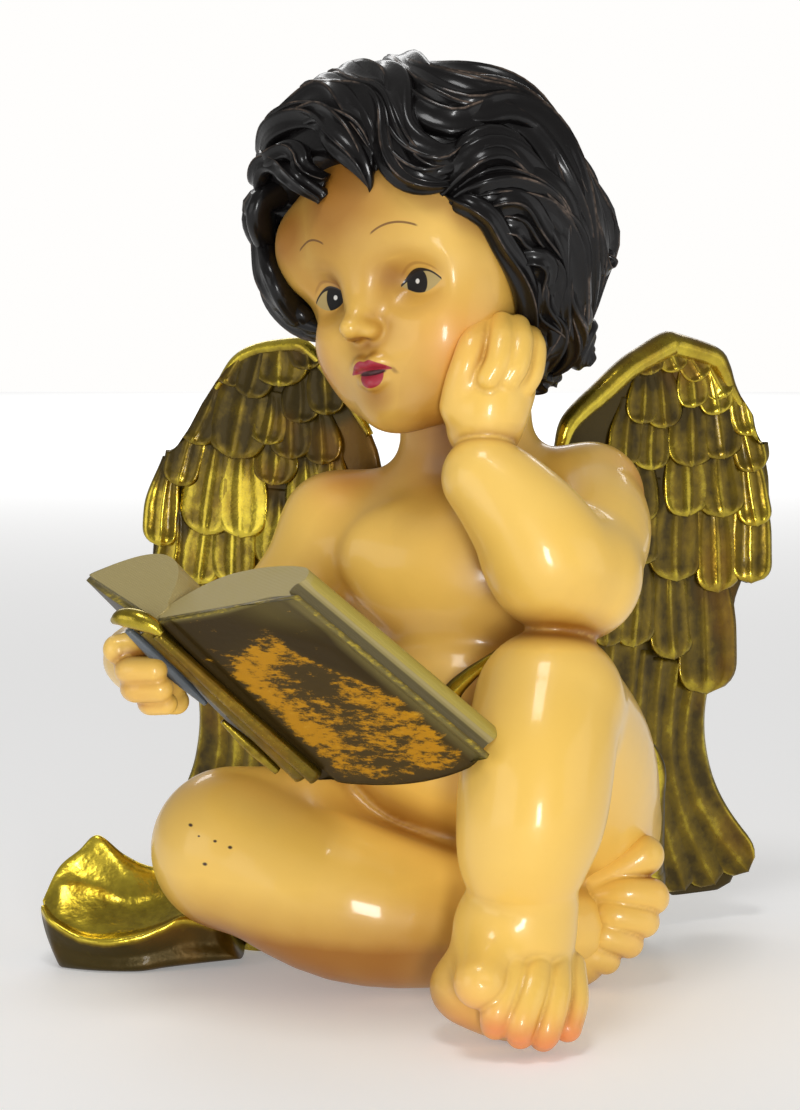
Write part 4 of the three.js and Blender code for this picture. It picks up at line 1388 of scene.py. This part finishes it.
SCOOP = [
    # each ring runs from the foot at the back, under, up the front to the lip, down the scoop, to the back
    # rim
    [(-141, 22, 1), (-142, 16, 2), (-146, 14, 14), (-148, 15, 24), (-146.5, 18, 25), (-147, 20, 25.5),
     (-148, 21, 25),
     (-145, 24, 12)],
    [(-138, 30, 0), (-139, 12, 0), (-142, 9, 12), (-143, 7, 21), (-140.5, 12, 21), (-141, 22, 31),
     (-142, 26, 38),
     (-140, 32, 18)],
    [(-128, 38, 0), (-129, 8, 0), (-130, 5, 8), (-131, 3, 15), (-128.5, 9, 17), (-131, 24, 31),
     (-134, 29, 45),
     (-130, 38, 20)],
    [(-118, 42, 0), (-118, 6, 0), (-118, 3, 7), (-119, 0, 14), (-117, 8, 17), (-119, 24, 28),
     (-126, 30, 51.5),
     (-120, 40, 22)],
    [(-106, 44, 0), (-106, 6, 0), (-106, 3, 8), (-106, 1, 16), (-106, 9, 18), (-108, 22, 26), (-115, 31, 43),
     (-108, 42, 22)],
    [(-96, 44, 1), (-96, 8, 1), (-97, 5, 10), (-97, 3, 19), (-97, 10, 20), (-98, 22, 27), (-104, 31, 38),
     (-98, 42, 22)],
    [(-84, 44, 2), (-84, 10, 2), (-88, 8, 12), (-88, 6, 22), (-88, 12, 23), (-88, 22, 29), (-92, 31, 38),
     (-86, 42, 22)],
    [(-66, 44, 3), (-66, 14, 3), (-74, 12, 10), (-76, 12, 18), (-76, 16, 20), (-76, 24, 26), (-78, 32, 34),
     (-70, 42, 20)],
]


def scoop():
    """The cloth's trailing end: bright along the lip and the crest, dark in the bed, with painted shade on
    the outer wall.
    """
    rings = cloth(SCOOP, 10, 12)
    rings[..., 2] = np.maximum(rings[..., 2], 0)
    share = np.linspace(0, 1, rings.shape[2], endpoint=False)
    lip = np.exp(-((share - 0.40) / 0.035) ** 2)
    crest = np.exp(-((share - 0.76) / 0.06) ** 2)
    # painted shade on the outer wall
    wall_shade = smooth((0.36 - share) / 0.06) + smooth((share - 0.82) / 0.05)
    return closed_rolls(rings, hollow=np.clip(0.34 + 0.6 * wall_shade - 0.5 * lip - 0.35 * crest, 0, 1))


def cloth_fold(stations, flat):
    """One roll of cloth, with painted shade where it faces front and back."""
    hollow = 0.45 + 0.4 * np.cos(2 * full_turn(FOLD_AROUND))
    return closed_rolls(tube(stations, FOLD_AROUND, 60, flat), hollow=hollow)


# ---------------------------------------------------------------- materials

def skin_paint(settings, name="flesh", face=False):
    """Glossy flesh enamel: warm painted shade in the folds and hollows, airbrushed blush, faint mottling, and
    varnish over it all."""
    paint = Paint(name, roughness=0.33, coat_roughness=0.10, specular_ior_level=0.40)
    mottle = paint.noise(55.0, 4.0)
    # painted shade: the skin darkens towards the shade colour with sunkenness and the painted-shade spots,
    # and the face gets more of it all over than the body
    fold = paint.value("hollow") * (0.8 if face else 1.35) + (0.20 if face else -0.14)
    fold = fold + paint.value("shade") * 0.8
    painted_shade_share = (fold + (mottle - 0.5) * 0.2).most(0.0).least(1.0)
    base = paint.mix(painted_shade_share, tuple(settings.skin), tuple(settings.shade))
    blushed = paint.value("blush") * (0.75 + 0.5 * mottle)
    base = paint.mix(blushed, base, tuple(settings.blush))
    pale = paint.noise(16.0, 2.0).step(0.45, 0.75) * 0.16
    base = paint.mix(pale, base, (0.93, 0.68, 0.24))
    varnish = settings.gloss - painted_shade_share * 0.30
    if face:
        base, eyes = face_paint(paint, base, settings)
        varnish = varnish * (1 - eyes)
    else:
        # painted shade in the casting pits on the knee
        base = paint.mix(pinhole_shade(paint), base, (0.05, 0.02, 0.008))
        eyes = 0.0
    grain = paint.noise(900.0, 3.0) * 0.25 + paint.noise(90.0, 3.0)
    paint.set(Base_Color=base, Coat_Weight=varnish, Roughness=0.34 + mottle * 0.10 + eyes * 0.3,
              Normal=paint.bump(grain, 0.0002, 0.35))
    return paint.material


PINHOLES = [((-82, -30, 69), 1.2), ((-78.5, -30, 65.4), 0.7), ((-72, -32, 64), 1.0), ((-66, -34, 62), 1.2),
            ((-76, -36, 55), 1.3)]


def pinhole_shade(paint):
    """Small casting pits on the knee, drawn as dark dots of painted shade, a little wider than high, on what
    faces forward.
    """
    place = paint.place()
    dots = None
    for centre, radius in PINHOLES:
        spot = placed(np.array(centre, float))
        right = paint.dot(place, (1, 0, 0), spot)
        up = paint.dot(place, (0, 0, 1), spot)
        gone = (right * right + up * up * 2.0).math("SQRT")
        dot = gone.step(radius * MILLIMETRE, radius * 0.4 * MILLIMETRE)
        dots = dot if dots is None else dots.most(dot)
    facing = paint.dot(place, (0, -1, 0), placed(np.array((0, -10, 0), float))).step(0.0, 0.002)
    return dots * facing


def oval(across, up, wide, high):
    """How far out a place is on an oval, which is 1 all along its edge."""
    return ((across / wide) ** 2.0 + (up / high) ** 2.0).math("SQRT")


def face_paint(paint, base, settings):
    """Eyes, brows, nostrils and lips, drawn in the head's own frame in millimetres, and what is left matt."""
    place = paint.place()
    centre = placed(HEAD_CENTRE)
    side, front, up = (paint.dot(place, axis, centre) / MILLIMETRE for axis in HEAD)
    ahead = front.step(20.0, 24.0)
    across = side.size()
    base, opening = eye_paint(paint, base, across - 22.4, up + 15.5, ahead)
    # painted shade in the nostrils
    nostril = oval(across - 3.0, up + 34.0, 2.0, 1.3).step(1.1, 0.5)
    base = paint.mix(nostril * front.step(50.0, 51.0), base, (0.16, 0.05, 0.006))
    brow_side = (across - 20.0) / 9.0
    brow = (up - 8.0 + brow_side * brow_side * 3.0).size()
    brow_mask = brow.step(0.55, 0.3) * brow_side.size().step(1.0, 0.85) * ahead
    base = paint.mix(brow_mask * 0.85, base, (0.14, 0.055, 0.015))
    base = lip_paint(paint, base, side, up + 45.5, ahead, front.step(36.0, 38.0), tuple(settings.lips))
    return base, opening.most(up.step(-14.0, -2.0) * 0.75)


def eye_paint(paint, base, side, up, ahead):
    """Both eyes at once: the white between two arches, the iris with its painted highlight dot, the lash and
    the lid's crease."""
    arch = 1 - (side / 8.6) * (side / 8.6)
    lid = up - arch * 4.9
    floor = up + arch * 3.8
    opening = lid.step(0.15, -0.15) * floor.step(-0.15, 0.15) * arch.step(0.0, 0.05) * ahead
    iris = oval(side + 2.2, up - 0.4, 4.6, 5.6)
    # a white dot of painted highlight in each iris
    light = oval(side + 2.2, up - 0.8, 1.0, 1.0)
    base = paint.mix(opening, base, (0.44, 0.33, 0.13))
    base = paint.mix(opening * iris.step(1.03, 0.95), base, (0.004, 0.003, 0.003))
    base = paint.mix(opening * light.step(1.1, 0.75), base, (0.75, 0.75, 0.72))
    crease = (lid - 2.6).size().step(0.8, 0.2) * arch.step(0.0, 0.5) * 0.45
    base = paint.mix(crease * ahead, base, (0.30, 0.11, 0.02))
    lash = (lid.size() - iris.step(1.5, 0.8) * 0.35).step(0.60, 0.30) * arch.step(-0.02, 0.04)
    return paint.mix(lash * ahead, base, (0.010, 0.005, 0.003)), opening


def lip_paint(paint, base, side, up, ahead, mouth, colour):
    """The bowed upper lip, the oval lower lip, painted shade for the dimple at the corner and the dark gap
    between the lips.
    """
    fall = 1 - (side.size() / 9.9) ** 1.4
    bow = fall * 5.2 - (side * side * -0.35).math("EXPONENT") * 1.2
    upper = (up - bow).step(0.2, -0.2) * up.step(-0.6, -0.2) * fall.step(0.0, 0.06)
    lower = oval(side - 0.8, up + 1.4, 5.4, 5.0).step(1.03, 0.97) * up.step(-0.4, -0.8)
    base = paint.mix(upper.most(lower) * mouth, base, colour)
    # painted shade for the dimple at the mouth's corner
    corner = (side - 10.4 + (up + 1.2) * 0.5).size().step(1.5, 0.1) * (up + 0.9).size().step(2.2, 0.4)
    base = paint.mix(corner * ahead * 0.6, base, (0.16, 0.05, 0.008))
    gap = oval(side - 1.0, up + 0.7, 6.6, 1.1).step(1.05, 0.8)
    return paint.mix(gap * mouth, base, (0.05, 0.002, 0.004))


def hair_paint(settings):
    """Near-black enamel under varnish, with brown dry-brushed where the ridges stand highest, light enough to
    serve as a painted highlight along them too.
    """
    paint = Paint("hair", roughness=0.34, coat_weight=0.42, coat_roughness=0.14, specular_ior_level=0.12)
    patch = paint.noise(60.0, 3.0).step(0.40, 0.62)
    dry_brush_and_highlight = paint.value("ridge").step(0.72, 0.96) * patch
    streak = paint.noise(420.0, 2.0).step(0.35, 0.65)
    base = paint.mix(dry_brush_and_highlight * (0.25 + 0.5 * streak), tuple(settings.colour), tuple(settings.ridge))
    grain = paint.noise(500.0, 3.0)
    paint.set(Base_Color=base, Roughness=0.30 + paint.noise(120.0, 2.0) * 0.14,
              Normal=paint.bump(grain, 0.00025, 0.4))
    return paint.material


def gold_paint(settings, name, tarnish):
    """Gold paint under a dark wash: bright on edges and ridges, olive on open faces, dark olive brown in the
    hollows."""
    paint = Paint(name, specular_ior_level=0.25, coat_roughness=0.08)
    cloud = paint.noise(70.0, 4.0, 0.6)
    fleck = paint.noise(260.0, 3.0, 0.6)
    depth = paint.value("hollow") + (cloud - 0.5) * 0.75 + (fleck - 0.5) * 0.25 + tarnish
    bright, middle = np.array(settings.bright), np.array(settings.middle)
    base = paint.node("ShaderNodeValToRGB", {"stops": [
        (0.02, bright), (0.30, 0.5 * (bright + middle)), (0.52, middle), (0.80, settings.hollow),
    ]}, {0: depth})
    shine = depth.step(0.85, 0.35)
    grain = paint.noise(420.0, 3.0, 0.5) * 0.35 + paint.noise(120.0, 3.0) * 1.1
    orange = paint.noise(24.0, 2.0).step(0.52, 0.70) * 0.25
    base = paint.mix(orange, base, (0.36, 0.15, 0.008))
    paint.set(Base_Color=base, Metallic=0.45 + shine * 0.5, Roughness=0.35 - shine * 0.15 + cloud * 0.08,
              Coat_Weight=0.08 + shine * 0.22, Normal=paint.bump(grain, 0.0006, 0.6))
    return paint.material


def cover_paint(settings):
    """Book cover: dark olive brown, rubbed through to orange gold in streaks that run along the book."""
    paint = Paint("book_cover", specular_ior_level=0.10, coat_weight=0.08, coat_roughness=0.15)
    streaks = paint.noise(190.0, 8.0, 0.76, (0.75, 0.6, 1.9))
    cloud = paint.noise(24.0, 3.0)
    rubbed = (paint.value("wear") + (streaks - 0.5) * 1.7 + (cloud - 0.5) * 1.0).step(0.44, 0.66)
    sheen = paint.value("wear").step(0.05, 0.7) * 0.4
    under = paint.mix(sheen, tuple(settings.cover), (0.10, 0.060, 0.010))
    base = paint.mix(rubbed, under, tuple(settings.wear))
    base = paint.mix(streaks.step(0.60, 0.78) * rubbed, base, (0.62, 0.38, 0.04))
    rim = paint.value("rim")
    base = paint.mix(rim * (0.45 + cloud * 0.5), base, (0.22, 0.175, 0.055))
    base = paint.mix((rim + (streaks - 0.5) * 1.2).step(0.95, 1.2), base, (0.50, 0.37, 0.04))
    grain = paint.noise(300.0, 4.0) + rubbed * 0.5
    paint.set(Base_Color=base, Roughness=0.36 + cloud * 0.12, Metallic=rubbed * 0.35,
              Normal=paint.bump(grain, 0.0003, 0.5))
    return paint.material


def spine_reflection_paint():
    """A painted reflection of bluish light along the spine's side: a strip of cool dark enamel, cloudy along
    its length.
    """
    paint = Paint("cool_strip", specular_ior_level=0.5, coat_weight=0.6, coat_roughness=0.1)
    cloud = paint.noise(60.0, 3.0)
    paint.set(Base_Color=paint.mix(cloud, (0.045, 0.055, 0.062), (0.12, 0.14, 0.16)),
              Roughness=0.25 + cloud * 0.2,
              Normal=paint.bump(paint.noise(260.0, 3.0), 0.0003, 0.4))
    return paint.material


def page_paint(settings):
    """Page blocks: taupe with fine leaf lines along them, gold worn onto their corners, and painted shade on
    the set-back outer edge.
    """
    paint = Paint("pages", specular_ior_level=0.2, coat_weight=0.2, coat_roughness=0.12)
    leaf = paint.value("leaf")
    lines = (leaf * 150.0).math("SINE") * 0.5 + 0.5
    cloud = paint.noise(40.0, 3.0)
    gilt = (paint.value("gilt") + (cloud - 0.5) * 0.7).step(0.45, 0.75)
    # painted shade darkens the set-back outer edge
    base = paint.mix(paint.value("shade"), tuple(settings.paper), (0.075, 0.058, 0.022))
    base = paint.mix(gilt * 0.75, base, (0.42, 0.32, 0.035))
    base = paint.mix(lines * 0.10, base, (0.08, 0.06, 0.03))
    paint.set(Base_Color=base, Roughness=0.34 + cloud * 0.12,
              Normal=paint.bump(lines * 0.4 + paint.noise(260.0, 3.0) * 0.6, 0.0003, 0.5))
    return paint.material


def floor_paint():
    """Plain pale floor, a little uneven in colour and glow."""
    paint = Paint("floor", roughness=0.6, specular_ior_level=0.2, emission_strength=0.22)
    paint.set(Base_Color=paint.mix(paint.noise(3.0, 2.0) * 0.2, (0.90, 0.90, 0.90), (0.86, 0.86, 0.86)),
              Emission_Color=paint.mix(paint.noise(2.0, 1.0) * 0.1, (1.0, 1.0, 1.0), (0.9, 0.9, 0.9)))
    return paint.material


# ---------------------------------------------------------------- operators

FLOOR_HALF = 6.0
FIGURE_MIDDLE = 172.0
SKY_LIGHT = 0.30  # the world's strength as a light; the camera sees it at 1
SENSOR_WIDTH = 36.0
LIGHTS = [
    # name, share of the key light's power, width, height, place, aim
    ("key", 1.0, 0.18, 0.40, (0.14, -1.35, 0.16), (0.0, 0.0, 0.11)),
    ("side", 0.36, 0.9, 0.7, (-1.15, -0.75, 0.36), (0.0, 0.0, 0.13)),
    ("fill", 0.20, 0.9, 0.7, (1.15, -0.45, 0.35), (0.0, 0.0, 0.13)),
    ("top", 0.42, 0.30, 0.30, (-0.10, -0.45, 1.20), (0.0, 0.0, 0.12)),
    ("backdrop", 13.0, 4.0, 2.0, (0.0, 4.2, 2.2), (0.0, 4.3, 0.0)),
]


def put_camera(scene, settings):
    """A camera in front of the figure's middle, raised by an angle and looking down by the same."""
    camera = bpy.data.objects.new("camera", bpy.data.cameras.new("camera"))
    back = np.array([0.0, -math.cos(settings.height), math.sin(settings.height)])
    camera.location = placed(np.array([0.0, 0.0, FIGURE_MIDDLE])) + back * settings.distance
    camera.rotation_euler = (math.pi / 2 - settings.height, 0, 0)
    camera.data.lens = settings.lens
    camera.data.sensor_width = SENSOR_WIDTH
    scene.collection.objects.link(camera)
    scene.camera = camera


def put_floor(scene):
    """A wide square on the ground."""
    corners = [(x * FLOOR_HALF, y * FLOOR_HALF, 0) for x, y in ((-1, -1), (1, -1), (1, 1), (-1, 1))]
    mesh = bpy.data.meshes.new("floor")
    mesh.from_pydata(corners, [], [(0, 1, 2, 3)])
    mesh.materials.append(floor_paint())
    floor = bpy.data.objects.new("floor", mesh)
    scene.collection.objects.link(floor)


def put_world(scene):
    """A near-white world, dimmer as a light than as the backdrop that the camera sees."""
    world = bpy.data.worlds.new("studio")
    world.use_nodes = True
    nodes = world.node_tree.nodes
    nodes["Background"].inputs["Color"].default_value = (1.0, 0.99, 0.975, 1)
    seen = nodes.new("ShaderNodeLightPath").outputs["Is Camera Ray"]
    strength = nodes.new("ShaderNodeMapRange")
    strength.inputs["To Min"].default_value = SKY_LIGHT
    strength.inputs["To Max"].default_value = 1.0
    world.node_tree.links.new(seen, strength.inputs["Value"])
    world.node_tree.links.new(strength.outputs["Result"], nodes["Background"].inputs["Strength"])
    scene.world = world
    scene.view_settings.view_transform = "Standard"
    scene.view_settings.look = "None"


def put_light(scene, name, power, wide, tall, place, aim):
    """An oblong lamp that points from its place at its aim."""
    light = bpy.data.lights.new(name, "AREA")
    light.energy = power
    light.shape = "RECTANGLE"
    light.size = wide
    light.size_y = tall
    lamp = bpy.data.objects.new(name, light)
    lamp.location = place
    heading = np.array(aim) - np.array(place)
    lamp.rotation_euler = (math.acos(-heading[2] / np.linalg.norm(heading)), 0,
                           math.atan2(heading[1], heading[0]) - math.pi / 2)
    scene.collection.objects.link(lamp)


class CHERUB_OT_stage(bpy.types.Operator):
    """Set up the camera, a pale floor and soft studio lights"""
    bl_idname = "cherub.stage"
    bl_label = "Studio"

    def execute(self, context):
        settings = context.scene.cherub_stage
        put_camera(context.scene, settings)
        put_floor(context.scene)
        put_world(context.scene)
        for name, share, *rest in LIGHTS:
            put_light(context.scene, name, settings.key * share, *rest)
        return {"FINISHED"}


class CHERUB_OT_flesh(bpy.types.Operator):
    """Model the body, hands, feet and face"""
    bl_idname = "cherub.flesh"
    bl_label = "Flesh"

    def execute(self, context):
        settings = context.scene.cherub_flesh
        coarse = 1.0
        skin = skin_paint(settings)
        face_skin = skin_paint(settings, "face", True)
        for name, forms, step_name in FLESH:
            on_ground = name != "face"
            points, faces, hollow = sculpt(forms(), getattr(settings, step_name) * coarse, on_ground)
            if not on_ground:
                points = on_head(points)
            values = {"hollow": hollow, "blush": spots_at(points, BLUSHES), "shade": shade_at(points)}
            make_piece(name, (points, [faces], values), skin if on_ground else face_skin)
        return {"FINISHED"}


class CHERUB_OT_hair(bpy.types.Operator):
    """Lay the locks of hair over the head"""
    bl_idname = "cherub.hair"
    bl_label = "Hair"

    def execute(self, context):
        settings = context.scene.cherub_hair
        random = np.random.default_rng(SEED)
        paint = hair_paint(settings)
        make_piece("hair_mass", hair_shell(), paint)
        parts = [locks(*family, settings, random) for family in HAIR_FAMILIES]
        make_piece("hair_locks", gather([*parts, curls(settings)]), paint)
        return {"FINISHED"}


class CHERUB_OT_wings(bpy.types.Operator):
    """Build both wings, feather by feather"""
    bl_idname = "cherub.wings"
    bl_label = "Wings"

    def execute(self, context):
        settings = context.scene.cherub_gold
        random = np.random.default_rng(SEED + 1)
        gold = gold_paint(settings, "gold_wings", 0.05)
        for name, wing in (("right_side_wing", RIGHT_WING), ("left_side_wing", LEFT_WING)):
            front = [wing_blade(wing), wing_rim(wing), plumes(wing, True, settings),
                     feathers(wing, True, settings, random)]
            make_piece(name, gather(front), gold)
            back = [plumes(wing, False, settings), feathers(wing, False, settings, random)]
            make_piece(name + "_back", gather(back), gold)
        return {"FINISHED"}


class CHERUB_OT_book(bpy.types.Operator):
    """Make the open book: two covers, the spine and its page blocks"""
    bl_idname = "cherub.book"
    bl_label = "Book"

    def execute(self, context):
        settings = context.scene.cherub_book
        cover = cover_paint(settings)
        make_piece("right_cover", board(RIGHT_EDGE, 0.09, 1.0), cover)
        make_piece("left_cover", board(LEFT_EDGE, 0.05, 0.0), cover)
        pages = page_paint(settings)
        for name, edge, bulge, outline in PAGE_BLOCKS:
            make_piece(name, page_block(edge, bulge, outline), pages, 50)
        gold = gold_paint(context.scene.cherub_gold, "gold_spine", 0.16)
        rolls = [closed_rolls(tube(stations, SPINE_AROUND, SPINE_ROWS), hollow=dark)
                 for stations, dark in SPINE_ROLLS]
        make_piece("book_spine", gather(rolls), gold)
        # the strip with the painted reflection along the spine's side
        make_piece("spine_strip", closed_rolls(tube(SPINE_REFLECTION_STRIP, SPINE_AROUND, SPINE_ROWS)),
                   spine_reflection_paint())
        return {"FINISHED"}


class CHERUB_OT_cloth(bpy.types.Operator):
    """Fold the gold cloth under and beside the figure"""
    bl_idname = "cherub.cloth"
    bl_label = "Cloth"

    def execute(self, context):
        gold = gold_paint(context.scene.cherub_gold, "gold_cloth", 0.0)
        make_piece("seat_cloth", seat_cloth(), gold)
        make_piece("trailing_cloth", scoop(), gold)
        make_piece("cloth_folds", gather([cloth_fold(*fold) for fold in CLOTH_FOLDS]), gold)
        return {"FINISHED"}


class CHERUB_PT_panel(bpy.types.Panel):
    """Buttons and sizes for the figurine"""
    bl_label = "Reading Cherub"
    bl_idname = "CHERUB_PT_panel"
    bl_space_type = "VIEW_3D"
    bl_region_type = "UI"
    bl_category = "Cherub"

    def draw(self, context):
        for operator in OPERATORS:
            self.layout.operator(operator.bl_idname)
        for name, group in SETTINGS.items():
            box = self.layout.box()
            for key in group.__annotations__:
                box.prop(getattr(context.scene, name), key)


SETTINGS = {
    "cherub_flesh": FleshSettings,
    "cherub_hair": HairSettings,
    "cherub_gold": GoldSettings,
    "cherub_book": BookSettings,
    "cherub_stage": StageSettings,
}
OPERATORS = [CHERUB_OT_stage, CHERUB_OT_flesh, CHERUB_OT_hair, CHERUB_OT_wings, CHERUB_OT_book,
             CHERUB_OT_cloth]
CLASSES = [*SETTINGS.values(), *OPERATORS, CHERUB_PT_panel]


def register():
    for group in CLASSES:
        bpy.utils.register_class(group)
    for name, group in SETTINGS.items():
        setattr(bpy.types.Scene, name, PointerProperty(type=group))


def unregister():
    for name in SETTINGS:
        delattr(bpy.types.Scene, name)
    for group in reversed(CLASSES):
        bpy.utils.unregister_class(group)


def main():
    register()
    bpy.ops.cherub.stage()
    bpy.ops.cherub.flesh()
    bpy.ops.cherub.hair()
    bpy.ops.cherub.wings()
    bpy.ops.cherub.book()
    bpy.ops.cherub.cloth()


if __name__ == "__main__":
    main()
